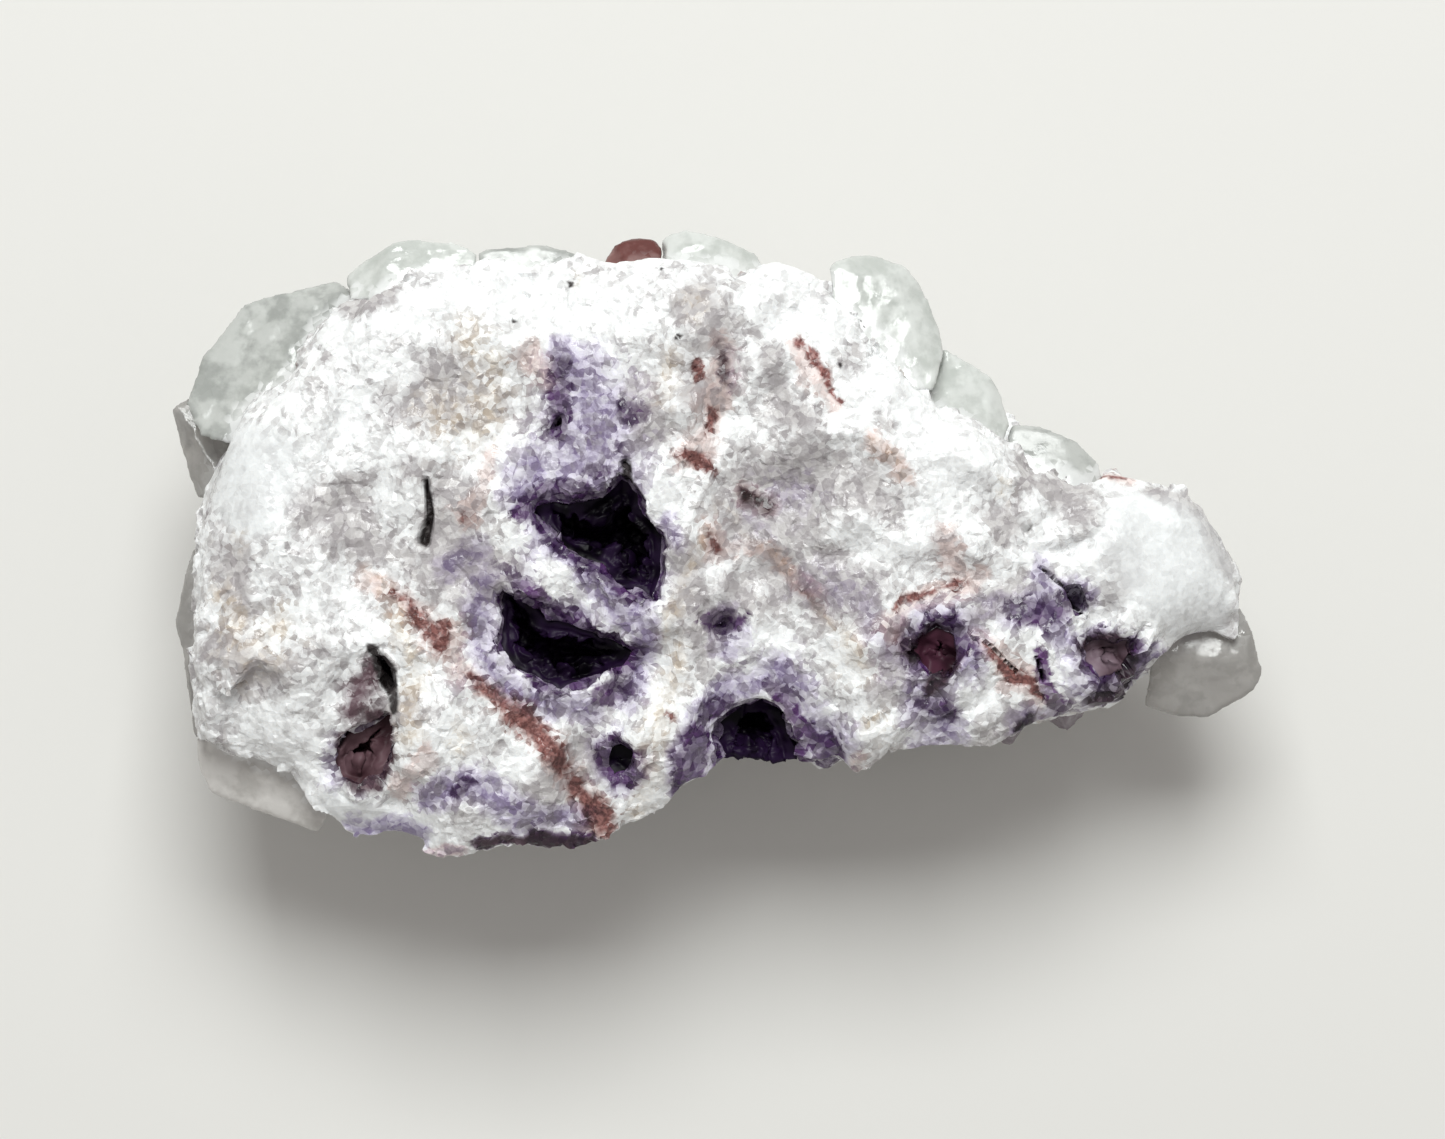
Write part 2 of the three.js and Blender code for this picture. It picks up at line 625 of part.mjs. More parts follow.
// An outline's points taken at even steps all round it.
function evenly(outline, count) {
  const corners = outline.map(([x, y]) => new THREE.Vector2(x, y));
  const lengths = corners.map((corner, index) => (
    corner.distanceTo(corners[(index + 1) % corners.length])
  ));
  const total = lengths.reduce((sum, length) => sum + length, 0);
  const points = [];
  let side = 0;
  let passed = 0;
  for (let place = 0; place < count; place += 1) {
    const target = (place / count) * total;
    while (passed + lengths[side] < target) {
      passed += lengths[side];
      side += 1;
    }
    const share = (target - passed) / lengths[side];
    points.push(corners[side].clone().lerp(corners[(side + 1) % corners.length], share));
  }
  return points;
}

// The ring of a hollow's wall at one level, drawn in by an inset.
function wallRing(hollow, [level, width], inset, count) {
  const [centreX, centreY] = hollow.centre;
  const shift = Math.min(1, level / 0.45);
  return evenly(hollow.outline, count).map((point, place) => {
    const out = new THREE.Vector2(point.x - centreX, point.y - centreY);
    const uneven = 1 + (chance(place, level * 10, centreX) - 0.5) * 0.12 * Math.min(1, level * 4);
    const reach = Math.max(0.35, out.length() * width * uneven - inset);
    out.setLength(reach);
    return new THREE.Vector3(
      centreX + out.x + hollow.lean[0] * shift,
      centreY + out.y + hollow.lean[1] * shift,
      faceHeight(centreX, centreY) - hollow.depth * level + inset * level,
    );
  });
}

function levelsOf(hollow) {
  return hollow.depth > DEEP ? DEEP_LEVELS : POCKET_LEVELS;
}

function wallCount(hollow) {
  const perimeter = hollow.outline.reduce((total, [x, y], index) => {
    const [nextX, nextY] = hollow.outline[(index + 1) % hollow.outline.length];
    return total + Math.hypot(nextX - x, nextY - y);
  }, 0);
  return THREE.MathUtils.clamp(Math.round(perimeter / 2), 7, 13);
}

// What is cut out of the body for a hollow: its wall, carried on above the face.
function hollowSolid(hollow, levels) {
  const count = wallCount(hollow);
  const rings = levels.map((level) => wallRing(hollow, level, 0, count));
  const above = rings[0].map((point) => point.clone().setZ(point.z + 4));
  const bottom = wallRing(hollow, [1, 0.4], 0, count);
  return skin([above, ...rings, bottom]);
}

// The crust of amethyst that lines a hollow, with a point on each cell of its inside.
function crustSolid(hollow) {
  const count = wallCount(hollow);
  const levels = levelsOf(hollow).map(([level, width]) => [Math.max(level, 0.1), width]);
  const outer = levels.map((level) => wallRing(hollow, level, GAP, count));
  const inner = levels.map((level) => wallRing(hollow, level, GAP + CRUST_THICKNESS, count));
  inner[inner.length - 1].forEach((point) => { point.z += CRUST_THICKNESS; });
  const [centreX, centreY] = hollow.centre;
  const rings = [...inner.reverse(), ...outer];
  const axis = new THREE.Vector3(centreX + hollow.lean[0], centreY + hollow.lean[1], 0);
  const raise = (level, place, corners) => {
    if (level >= inner.length - 1) return null;
    const middle = middleOf(corners);
    const inward = axis.clone().setZ(middle.z + 1.2).sub(middle);
    const room = inward.length();
    const cell = corners[0].distanceTo(corners[2]);
    const height = Math.min(room * 0.4, cell * POINT_HEIGHT * (0.7 + 0.6 * chance(level, place)));
    return middle.addScaledVector(inward.normalize(), height);
  };
  return skin(rings, raise);
}

// ---- the glassy crystals ----

// A quartz crystal: six prism faces at uneven distances from its axis, six tip faces of which
// every second one is larger, and a flat root inside the body. It is grown all round by swell.
function crystalSolid({ from, points, turn, radius, height }, swell) {
  const axis = new THREE.Vector3(...points).normalize();
  const side = new THREE.Vector3(0, 0, 1).cross(axis);
  if (side.lengthSq() < 0.01) side.set(1, 0, 0);
  side.normalize();
  const up = axis.clone().cross(side);
  const root = new THREE.Vector3(...from);
  const tipDistance = height * Math.cos(QUARTZ_TIP_ANGLE);
  const planes = [{ normal: axis.clone().negate(), distance: radius * 0.6 + swell }];
  for (let face = 0; face < 6; face += 1) {
    const angle = THREE.MathUtils.degToRad(turn + 60 * face);
    const out = side.clone().multiplyScalar(Math.cos(angle)).addScaledVector(up, Math.sin(angle));
    const uneven = 0.84 + 0.26 * chance(face, from[0], from[1]);
    planes.push({ normal: out, distance: radius * uneven + swell });
    const tip = axis.clone().multiplyScalar(Math.cos(QUARTZ_TIP_ANGLE))
      .addScaledVector(out, Math.sin(QUARTZ_TIP_ANGLE));
    const later = (face % 2) * (0.12 + 0.2 * chance(from[1], face)) * radius;
    planes.push({ normal: tip, distance: tipDistance + later + swell });
  }
  return solidWithinPlanes(planes, root);
}

// A crowded crystal: its sides stand on its outline and draw in below it, faces top it and three
// tip faces meet in its foot. It is grown all round by swell.
function crowdedSolid({ outline, level, faces, foot, turn }, swell) {
  const rim = outline.map(([x, y]) => new THREE.Vector3(x, y, level));
  const centre = middleOf(rim);
  const planeThrough = (place, way) => {
    const normal = way.normalize();
    return { normal, distance: place.clone().sub(centre).dot(normal) + swell };
  };
  const planes = rim.map((corner, index) => {
    const along = rim[(index + 1) % rim.length].clone().sub(corner);
    const out = new THREE.Vector3(along.y, -along.x, 0).normalize();
    if (out.dot(corner.clone().sub(centre)) < 0) out.negate();
    return planeThrough(corner, out.setZ(-CROWDED_TAPER));
  });
  faces.forEach(([x, y, z, leanX, leanY]) => {
    planes.push(planeThrough(new THREE.Vector3(x, y, z), new THREE.Vector3(leanX, leanY, 1)));
  });
  for (let face = 0; face < 3; face += 1) {
    const angle = THREE.MathUtils.degToRad(turn + 120 * face);
    const out = new THREE.Vector3(Math.cos(angle), Math.sin(angle), 0);
    out.multiplyScalar(Math.sin(QUARTZ_TIP_ANGLE)).setZ(-Math.cos(QUARTZ_TIP_ANGLE));
    planes.push(planeThrough(new THREE.Vector3(...foot), out));
  }
  return solidWithinPlanes(planes, centre);
}

// The solid on the inner side of every plane, each measured from a root point.
function solidWithinPlanes(planes, root) {
  const corners = cornersWithin(planes);
  const triangles = [];
  planes.forEach((plane) => {
    const onPlane = corners
      .map((corner, index) => ({ place: corner.place, index, met: corner.met }))
      .filter(({ met }) => met.has(plane));
    if (onPlane.length < 3) return;
    const middle = middleOf(onPlane.map(({ place }) => place));
    const start = onPlane[0].place.clone().sub(middle).normalize();
    const across = plane.normal.clone().cross(start);
    const turned = onPlane.map(({ place, index }) => {
      const out = place.clone().sub(middle);
      return { index, angle: Math.atan2(out.dot(across), out.dot(start)) };
    });
    turned.sort((first, second) => first.angle - second.angle);
    for (let next = 1; next < turned.length - 1; next += 1) {
      triangles.push(turned[0].index, turned[next].index, turned[next + 1].index);
    }
  });
  return solidOf(corners.map(({ place }) => place.add(root)), triangles);
}

// The corners of the space within the planes, each with the planes that meet in it. Corners
// closer together than a sliver are one.
function cornersWithin(planes) {
  const corners = [];
  for (let a = 0; a < planes.length; a += 1) {
    for (let b = a + 1; b < planes.length; b += 1) {
      for (let c = b + 1; c < planes.length; c += 1) {
        const place = meetingPoint(planes[a], planes[b], planes[c]);
        if (place && planes.every(({ normal, distance }) => normal.dot(place) < distance + 1e-6)) {
          let corner = corners.find((other) => other.place.distanceTo(place) < SLIVER);
          if (!corner) {
            corner = { place, met: new Set() };
            corners.push(corner);
          }
          [a, b, c].forEach((index) => corner.met.add(planes[index]));
        }
      }
    }
  }
  return corners;
}

// Where three planes meet, or nothing where two of them are nearly parallel.
function meetingPoint(a, b, c) {
  const bc = b.normal.clone().cross(c.normal);
  const spread = a.normal.dot(bc);
  if (Math.abs(spread) < 1e-5) return null;
  const ca = c.normal.clone().cross(a.normal);
  const ab = a.normal.clone().cross(b.normal);
  return bc.multiplyScalar(a.distance)
    .addScaledVector(ca, b.distance)
    .addScaledVector(ab, c.distance)
    .divideScalar(spread);
}

// The crystals of a cluster, grown together and grown all round by swell.
function clusterSolid(cluster, swell) {
  return joined(cluster.crystals.map((crystal) => (
    crystal.outline ? crowdedSolid(crystal, swell) : crystalSolid(crystal, swell)
  )));
}

// A cluster, cut back where it meets a cluster listed before it.
function fittedCluster(index) {
  const earlier = CLUSTERS.slice(0, index).map((cluster) => clusterSolid(cluster, GAP));
  const whole = clusterSolid(CLUSTERS[index], 0);
  return earlier.length > 0 ? mainBody(whole.subtract(joined(earlier))) : whole;
}

// ---- materials ----

const granularQuartz = new THREE.MeshStandardMaterial({ color: 0xe9e8e6, roughness: 0.55 });
const glassyQuartz = new THREE.MeshStandardMaterial({ color: 0xb9bcb6, roughness: 0.15 });
const stainedQuartz = new THREE.MeshStandardMaterial({ color: 0x9c5f5c, roughness: 0.25 });
const amethyst = new THREE.MeshStandardMaterial({ color: 0x2c1a45, roughness: 0.2 });

// ---- assembly ----

const wholeBody = bodySolid();
const crusts = HOLLOWS.map((hollow) => ({
  name: hollow.name,
  solid: mainBody(crustSolid(hollow).intersect(wholeBody)),
}));
const sockets = joined(CLUSTERS.map((cluster) => clusterSolid(cluster, GAP)));
const cavities = joined([
  ...HOLLOWS.map((hollow) => hollowSolid(hollow, levelsOf(hollow))),
  ...CLEFTS.map((cleft) => hollowSolid(cleft, CLEFT_LEVELS)),
]);
const body = mainBody(wholeBody.subtract(cavities).subtract(sockets));

const specimen = new THREE.Group();
specimen.name = 'amethyst_specimen';
specimen.add(meshOf('quartz_matrix', body, granularQuartz));
crusts.forEach(({ name, solid }) => specimen.add(meshOf(name, solid, amethyst)));
CLUSTERS.forEach((cluster, index) => {
  const material = cluster.name.includes('stained') ? stainedQuartz : glassyQuartz;
  specimen.add(meshOf(cluster.name, fittedCluster(index), material));
});

// The origin is on the surface that the specimen rests on, under the middle of its outline.
const outer = new THREE.Box3().setFromObject(specimen);
const middle = outer.getCenter(new THREE.Vector3());
specimen.position.set(-middle.x, -middle.y, -outer.min.z);

export default specimen;
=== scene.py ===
import itertools
import math

import bpy
import numpy as np
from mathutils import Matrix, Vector
from mathutils.bvhtree import BVHTree


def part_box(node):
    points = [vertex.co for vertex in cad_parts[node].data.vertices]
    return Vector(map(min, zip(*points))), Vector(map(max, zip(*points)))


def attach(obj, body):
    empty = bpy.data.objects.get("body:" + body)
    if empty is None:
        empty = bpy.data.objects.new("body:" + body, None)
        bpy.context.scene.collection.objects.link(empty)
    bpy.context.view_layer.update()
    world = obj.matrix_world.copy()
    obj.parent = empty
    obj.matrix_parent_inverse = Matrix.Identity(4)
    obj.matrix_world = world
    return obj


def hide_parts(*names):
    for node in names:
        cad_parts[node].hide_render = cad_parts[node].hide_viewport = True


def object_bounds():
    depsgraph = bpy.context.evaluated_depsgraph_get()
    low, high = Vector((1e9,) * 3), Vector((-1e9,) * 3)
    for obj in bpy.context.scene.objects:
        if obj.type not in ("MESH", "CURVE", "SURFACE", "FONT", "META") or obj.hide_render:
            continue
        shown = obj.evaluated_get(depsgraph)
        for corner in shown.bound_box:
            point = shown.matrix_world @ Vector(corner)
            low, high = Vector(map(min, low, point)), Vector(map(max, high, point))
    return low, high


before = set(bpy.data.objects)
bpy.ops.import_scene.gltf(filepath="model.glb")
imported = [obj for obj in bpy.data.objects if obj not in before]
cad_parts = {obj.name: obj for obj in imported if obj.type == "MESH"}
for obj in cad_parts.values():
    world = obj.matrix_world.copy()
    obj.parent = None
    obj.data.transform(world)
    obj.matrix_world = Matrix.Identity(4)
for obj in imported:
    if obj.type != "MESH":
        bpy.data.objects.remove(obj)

# The looks of an amethyst specimen: granular white quartz with dark amethyst in its hollows and
# glassy crystals round its sides. The frame's solids are in metres. Surfaces are worked on here as
# arrays of points in millimetres, because that is the scale of everything on them.
MM = 0.001
TINY = 1e-6                 # keeps a division from being by zero
BODY = "root"
CAD_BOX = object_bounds()
MATRIX = "quartz_matrix"
CRUSTS = sorted(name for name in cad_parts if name.startswith("amethyst_"))
CRYSTALS = sorted(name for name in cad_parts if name.startswith("quartz_") and name != MATRIX)

# The rock between the crystals.
VOXEL = 0.26                # mm, the pitch that the rock is first meshed at
SMOOTHING = 0.5             # how far one smoothing step takes a point towards its neighbours' middle
ROCK_ROUNDING = 10          # smoothing steps, which round off the solid's own faces
LOBE_ROUNDING = 220         # the same for the smooth sugary lobes and the shallow pits
LOBE_SMOOTHNESS = 0.85      # how much of the broken relief a smooth lobe is without
LOBE_EDGE = (0.05, 0.45)    # the share of its mark over which a lobe becomes smooth
PIT_EDGE = (0.1, 0.5)       # the same for a shallow pit
RESTING = (0.0, 1.5)        # mm, the height over which the rock stops being left as the solid is
CRUST_EDGE = (0.5, 1.5)     # mm from a crust, over which rounding begins
ROCK_TRIANGLES = 188000     # in the finished rock
FACE_FROM = 12.0            # mm, above this height a surface that looks up is the broken face
FACE_UP = (0.15, 0.6)       # the upward part of what it faces, where a flank turns into the face
HEIGHT_FADE = 4.0           # mm, the height over which the face, and the marks on it, begin
SEAM = 0.75                 # mm, rock nearer than this to a crystal or a crust is drawn against it
SEAM_FULL = 0.6             # the share of that within which it is drawn all the way
SEAM_OVERLAP = 0.12         # mm, how far it then runs into it
RIM_REACH = 0.35            # mm, how much further the face runs over a crust in places
RIM_LIFT = 0.1              # mm, how high it then lies on the crust
RIM_WANDER = [(3.2, 0.45), (1.4, 0.35), (0.6, 0.12)]  # the size and reach, in mm, of its bends
RIM_ROUND = (1.0, 3.0)      # mm from a crust, where that bending fades out

# The broken surface's soft lumps and flat plates, from coarse to fine: size and height in mm.
FACE_LUMPS = [(5.0, 0.24), (2.4, 0.18), (1.2, 0.08)]
FACE_PLATES = [(2.0, 0.07), (0.8, 0.08)]
FLANK_PLATES = [(4.2, 0.42), (1.9, 0.22), (0.9, 0.12)]
STEP_SHARE = 0.45           # the share of a plate's height that is a step, and not a tilt

# The first seed of each use of the noise. Every layer, axis or patch takes the next ones.
FACE_PLATE_SEED = 10
FLANK_PLATE_SEED = 20
FACE_LUMP_SEED = 30
RIM_COVER_SEED = 40
SLOPE_SEED = 50
MARK_SEED = 60
CRYSTAL_WAVE_SEED = 80
CRYSTAL_CHIP_SEED = 84
RIM_SEED = 90
CRUST_SEED = 200
CRUST_SEED_STEP = 10        # from one crust to the next

# Marks of colour on the broken face. A mark is a line of places: x, y and half width, in mm, from
# the face's own middle, which lies at MARKS_ORIGIN in the frame.
MARKS_ORIGIN = (-0.1, -0.34)
MARKS_FROM = 7.0            # mm, the marks fade out below this height
MARKS_UP = (-0.1, 0.3)      # and on sides steeper than this, as the upward part of what they face
SLOPE_WANDER = [(2.2, 0.15), (0.9, 0.1)]  # the size, in mm, and strength of what makes that uneven
SIDE_ROUNDING = 40          # smoothing steps, after which a side's own slope is left
MARK_SPREAD = 1.3           # how much wider than its line's half width a mark fades out
MARK_WANDER = [(2.6, 0.5), (0.8, 0.35)]  # the size and reach, in mm, of what makes a mark uneven
GLASSY_GAIN = 1.4           # how much stronger a glassy mark is than its share, up to all of it
DARK_GAIN = 2.0             # the same for the dark specks, and for the painted shade in the cracks

# The steep sides have no marks, but soft patches: their size in mm, the two levels of the noise
# between which one begins, and its first seed. After them, how strong each colour is there.
SIDE_PATCHES = {
    "violet": (7.0, 0.15, 0.6, 52),
    "pink": (6.0, 0.2, 0.6, 54),
    "cream": (5.0, 0.0, 0.5, 56),
    "grey": (4.0, 0.1, 0.6, 58),
}
SIDE_VIOLET = 0.6
SIDE_RUST = 0.35            # in the middles of the pink patches
SIDE_PINK = 0.6
SIDE_CREAM = 0.7
SIDE_GREY = 0.5

# How violet the rock is beside each crust.
HALO_WIDTH = 2.6            # mm, how far the violet of a crust spreads in the rock round it
RIM_WIDTH = 1.6             # mm, the same for the deep violet round it
EDGE_WIDTH = 1.8            # mm, the same for the deep violet at its very edge, all along it
HALOES = {
    "amethyst_upper_hollow": 0.8,
    "amethyst_lower_hollow": 0.8,
    "amethyst_notch": 0.85,
    "amethyst_small_hollow": 0.7,
    "amethyst_left_pocket": 0.3,
    "amethyst_right_pocket": 0.75,
    "amethyst_far_right_pocket": 0.6,
}

VIOLET_MARKS = [
    [(-11.0, 14.6, 1.0), (-10.0, 12.2, 2.9), (-9.2, 9.6, 4.7), (-9.6, 6.4, 5.8)],
    [(-12.8, 5.6, 2.2), (-14.2, 3.2, 1.8)],
    [(-12.6, 0.4, 1.3), (-10.0, -1.6, 1.4), (-8.0, -3.6, 2.0), (-5.8, -5.4, 1.7)],
    [(-17.0, -3.0, 1.4), (-17.2, -8.0, 1.5), (-14.4, -11.2, 1.6), (-9.8, -12.2, 1.8)],
    [(-6.4, -11.2, 1.8), (-5.2, -7.6, 1.3), (-4.6, -2.4, 1.1)],
    [(-0.9, -12.8, 1.3), (1.6, -10.8, 1.5), (4.2, -9.4, 1.7), (6.2, -11.0, 1.5)],
    [(-0.9, -14.0, 1.6), (-1.7, -16.4, 1.9), (-2.2, -18.9, 1.5)],
    [(7.2, -12.6, 1.6), (8.6, -14.8, 2.3), (8.8, -16.6, 1.6)],
    [(0.4, -5.2, 1.6), (1.4, -7.0, 1.9)],
    [(21.4, -5.0, 1.8), (24.2, -4.6, 2.3), (26.6, -3.8, 1.5)],
    [(24.2, -1.4, 0.8), (25.4, -6.6, 1.6)],
    [(14.2, -7.4, 2.4), (17.8, -5.8, 2.4), (18.6, -9.0, 1.9)],
    [(15.4, -11.0, 2.0), (16.2, -13.0, 2.6)],
    [(28.8, -8.8, 3.2), (28.4, -12.2, 2.2), (32.0, -8.2, 1.3)],
    [(22.4, -13.2, 1.4), (25.6, -12.6, 1.4), (29.4, -12.8, 1.2)],
    [(-20.8, -18.4, 1.5), (-17.6, -17.6, 1.8), (-14.4, -20.2, 1.5), (-9.4, -19.8, 1.1)],
    [(-26.4, -20.6, 1.2), (-22.0, -21.0, 1.2)],
    [(-19.4, -1.6, 1.6), (-17.6, -1.0, 1.4)],
    [(-3.6, 1.4, 0.8), (-2.6, -0.6, 0.7)],
]
MAROON_MARKS = [
    [(-26.8, -14.8, 1.4), (-26.2, -17.0, 1.6), (-25.0, -17.4, 1.2)],
    [(-24.6, -12.8, 0.9), (-24.2, -16.6, 0.9)],
    [(14.8, -8.2, 0.9), (16.4, -6.8, 1.2), (17.0, -9.0, 1.2), (15.8, -10.6, 0.9)],
    [(27.4, -7.0, 0.9), (29.6, -7.2, 1.1), (30.4, -9.4, 0.9)],
    [(22.8, -13.6, 0.9), (25.2, -12.9, 1.0), (27.6, -12.8, 0.9)],
    [(-17.6, -21.9, 0.6), (-13.0, -22.0, 0.8), (-9.0, -21.7, 0.6)],
]
FAINT_MAROON_SHARE = 0.75
FAINT_MAROON_MARKS = [
    [(-24.9, -9.4, 1.5), (-25.7, -11.0, 2.1), (-26.6, -12.6, 1.9)],
    [(2.2, 3.4, 1.0), (4.0, 2.6, 0.9)],
    [(28.4, -11.2, 1.3), (30.8, -10.4, 1.0)],
    [(29.6, -13.0, 0.9)],
    [(0.4, 14.2, 0.8), (0.4, 11.6, 0.7)],
]
FAINT_VIOLET_SHARE = 0.45
FAINT_VIOLET_MARKS = [
    [(-28.0, -14.6, 1.2), (-28.4, -17.6, 1.2)],
    [(2.2, 3.2, 1.4), (4.2, 2.6, 1.3)],
    [(1.0, 13.8, 1.6), (0.8, 11.6, 1.3)],
    [(-31.6, -19.4, 0.8), (-29.8, -20.2, 0.9)],
    [(-27.6, -21.8, 0.9), (-19.0, -22.4, 0.8)],
    [(2.6, -9.4, 2.0), (5.6, -8.6, 1.6)],
    [(19.6, -4.6, 1.6), (22.0, -5.6, 1.8)],
    [(-12.8, 0.0, 2.0), (-18.0, -9.8, 1.8)],
    [(2.8, 2.4, 3.2), (6.2, 3.8, 3.0)],
    [(6.8, -2.6, 2.6), (10.8, -4.6, 2.4), (12.8, -9.8, 1.8)],
]
DEEP_VIOLET_MARKS = [
    [(-0.4, -5.4, 1.2), (1.6, -5.8, 1.1)],
    [(-17.6, -21.8, 0.6), (-13.0, -21.9, 0.8), (-9.0, -21.6, 0.7)],
    [(-11.8, 11.0, 1.1), (-11.0, 13.0, 0.7)],
    [(-12.4, 8.2, 1.0), (-11.4, 9.6, 1.2)],
    [(-7.3, 6.6, 0.4), (-7.0, 7.4, 0.4)],
    [(-6.6, 9.8, 1.0), (-5.2, 9.4, 0.8)],
    [(-9.4, 5.0, 0.5), (-8.0, 4.8, 0.5)],
    [(-14.0, 2.0, 0.9), (-12.4, 3.2, 1.0), (-10.0, 3.8, 0.8)],
    [(-15.8, -2.1, 0.4), (-14.2, -3.4, 0.7), (-12.4, -4.6, 0.6)],
    [(-7.6, -1.2, 0.4), (-6.9, -3.2, 0.4)],
    [(-1.6, -16.4, 1.0), (-2.1, -18.6, 0.7)],
    [(-8.6, -11.2, 0.9), (-6.2, -10.6, 0.9)],
    [(3.6, -10.2, 0.6), (5.4, -11.6, 0.9), (6.8, -13.4, 0.7), (8.0, -15.4, 0.7)],
    [(-0.4, -12.6, 0.7), (1.2, -11.6, 0.6)],
    [(8.4, -14.4, 0.8), (9.2, -16.0, 1.0)],
    [(-1.0, -14.0, 1.1), (-1.5, -16.0, 1.4), (-2.2, -18.4, 1.0)],
    [(21.8, -4.8, 1.1), (24.4, -5.4, 1.5), (26.4, -4.2, 1.1)],
    [(14.4, -7.4, 1.1), (17.4, -5.6, 1.1), (18.6, -8.0, 0.9)],
    [(15.4, -11.8, 0.8), (17.2, -12.6, 0.8)],
    [(23.6, -8.4, 0.6), (24.4, -10.2, 0.9), (25.2, -11.4, 0.7)],
    [(22.6, -13.4, 0.6), (25.8, -12.4, 0.6), (29.4, -12.6, 0.6)],
    [(30.8, -7.4, 0.7), (31.6, -9.6, 0.7), (30.2, -11.8, 0.7)],
    [(-19.2, -18.2, 0.5), (-17.6, -17.2, 0.4)],
]
RUST_MARKS = [
    [(-18.6, -9.2, 0.5), (-17.2, -10.4, 0.8), (-15.4, -12.0, 1.2), (-13.8, -13.4, 1.5)],
    [(-13.8, -13.4, 1.5), (-12.4, -14.8, 1.3), (-11.3, -16.1, 0.9)],
    [(-10.4, -17.2, 0.8), (-9.2, -18.8, 1.1), (-8.2, -20.8, 1.3)],
    [(-23.8, -3.8, 0.6), (-22.0, -5.2, 0.9), (-20.4, -6.4, 1.2)],
    [(-19.8, -6.0, 0.6), (-19.8, -7.4, 0.7)],
    [(-18.3, 1.7, 0.8)],
    [(6.1, 14.8, 0.3), (7.5, 12.7, 0.5), (9.2, 10.4, 0.3)],
    [(-1.4, 13.2, 0.4), (-1.0, 12.0, 0.6)],
    [(-0.3, 9.4, 0.5), (-0.4, 8.0, 0.7)],
    [(-2.8, 6.6, 0.6), (-1.4, 5.8, 0.9), (-0.6, 4.8, 0.5)],
    [(-0.5, 0.6, 0.5), (0.0, -0.4, 0.5)],
    [(2.2, 3.4, 0.5), (3.6, 2.8, 0.5)],
    [(13.6, -4.8, 0.35), (15.8, -3.6, 0.4), (18.2, -2.6, 0.35)],
    [(19.4, -7.2, 0.35), (20.6, -8.4, 0.45), (22.4, -9.8, 0.45), (24.0, -11.0, 0.4)],
    [(28.4, 5.4, 0.3), (30.4, 5.4, 0.3)],
    [(-3.0, -12.8, 0.4)],
]
PINK_MARKS = [
    [(-18.8, -9.0, 1.2), (-14.6, -12.4, 1.9), (-11.4, -16.2, 1.5), (-9.6, -18.2, 1.8)],
    [(-9.6, -18.2, 1.8), (-8.4, -21.0, 1.7)],
    [(-25.6, -2.4, 1.1), (-22.0, -5.0, 1.7), (-19.8, -6.8, 2.1)],
    [(-18.4, 1.8, 1.8), (-16.8, 4.0, 1.0), (-16.4, 6.4, 0.9)],
    [(-13.2, 13.6, 1.5), (-12.2, 12.6, 1.2)],
    [(5.8, 14.6, 0.8), (7.0, 12.4, 1.3), (8.8, 10.2, 0.7)],
    [(11.3, 7.4, 0.9), (12.6, 6.0, 1.2), (14.0, 4.5, 1.0)],
    [(0.6, 14.4, 1.5), (0.2, 11.4, 1.6), (-0.4, 8.2, 1.4), (-2.0, 6.2, 1.8)],
    [(-0.4, 0.8, 1.4), (0.2, -0.8, 1.2), (3.4, -0.4, 0.8), (7.8, -3.4, 1.0)],
    [(2.2, 3.4, 1.4), (4.0, 2.6, 1.2)],
    [(12.4, -6.4, 1.1), (15.0, -4.4, 1.2), (17.6, -3.2, 1.4), (19.4, -2.4, 1.0)],
    [(16.6, 0.8, 1.1), (17.4, -1.4, 1.1), (18.6, -2.4, 1.2)],
    [(19.2, -7.0, 1.2), (21.8, -9.2, 1.4), (23.8, -11.2, 1.2)],
    [(14.0, -7.6, 1.2), (17.8, -8.6, 1.0)],
    [(-22.8, -17.6, 1.2), (-21.4, -15.8, 1.1)],
    [(10.6, -15.8, 1.0)],
    [(28.0, 5.6, 0.7), (31.0, 5.2, 0.7)],
    [(-31.6, -19.4, 0.7), (-29.8, -20.2, 0.8)],
    [(-27.6, -21.8, 0.8), (-19.0, -22.4, 0.7)],
]
CREAM_MARKS = [
    [(-2.6, -8.0, 1.4), (-3.8, -12.4, 2.0), (-5.8, -19.6, 1.6)],
    [(-0.8, 1.0, 0.9), (-1.6, -1.4, 1.1), (-3.6, -6.8, 1.2)],
    [(-0.6, 3.4, 0.8), (2.4, 0.8, 0.7), (5.9, -2.2, 0.7), (8.6, -6.1, 0.8)],
    [(-3.6, -13.4, 1.8), (-4.6, -14.8, 1.6)],
    [(-31.2, -6.6, 1.2)],
    [(-35.2, 0.0, 1.4)],
    [(-17.8, 14.4, 2.8), (-15.8, 12.2, 2.8), (-17.6, 8.4, 3.2), (-20.6, 9.6, 3.2)],
    [(-36.2, -4.0, 1.8), (-34.4, -8.4, 3.0), (-31.6, -6.2, 2.4)],
    [(-23.6, -4.4, 1.6), (-22.0, -9.6, 1.8), (-22.6, -14.4, 1.8)],
    [(9.6, -6.6, 1.8), (10.6, -9.4, 2.4)],
    [(11.6, -13.0, 2.2)],
    [(-3.6, 10.6, 2.0), (-3.6, 13.2, 1.8)],
    [(-1.0, 17.4, 1.8)],
    [(11.6, 7.0, 1.0), (14.0, 4.4, 1.0)],
    [(-25.6, -2.0, 1.0), (-24.0, -3.6, 1.2)],
    [(21.2, 4.2, 1.3)],
    [(-10.2, 19.3, 0.8)],
    [(13.2, -6.8, 1.6)],
    [(-18.8, -14.4, 1.8)],
]
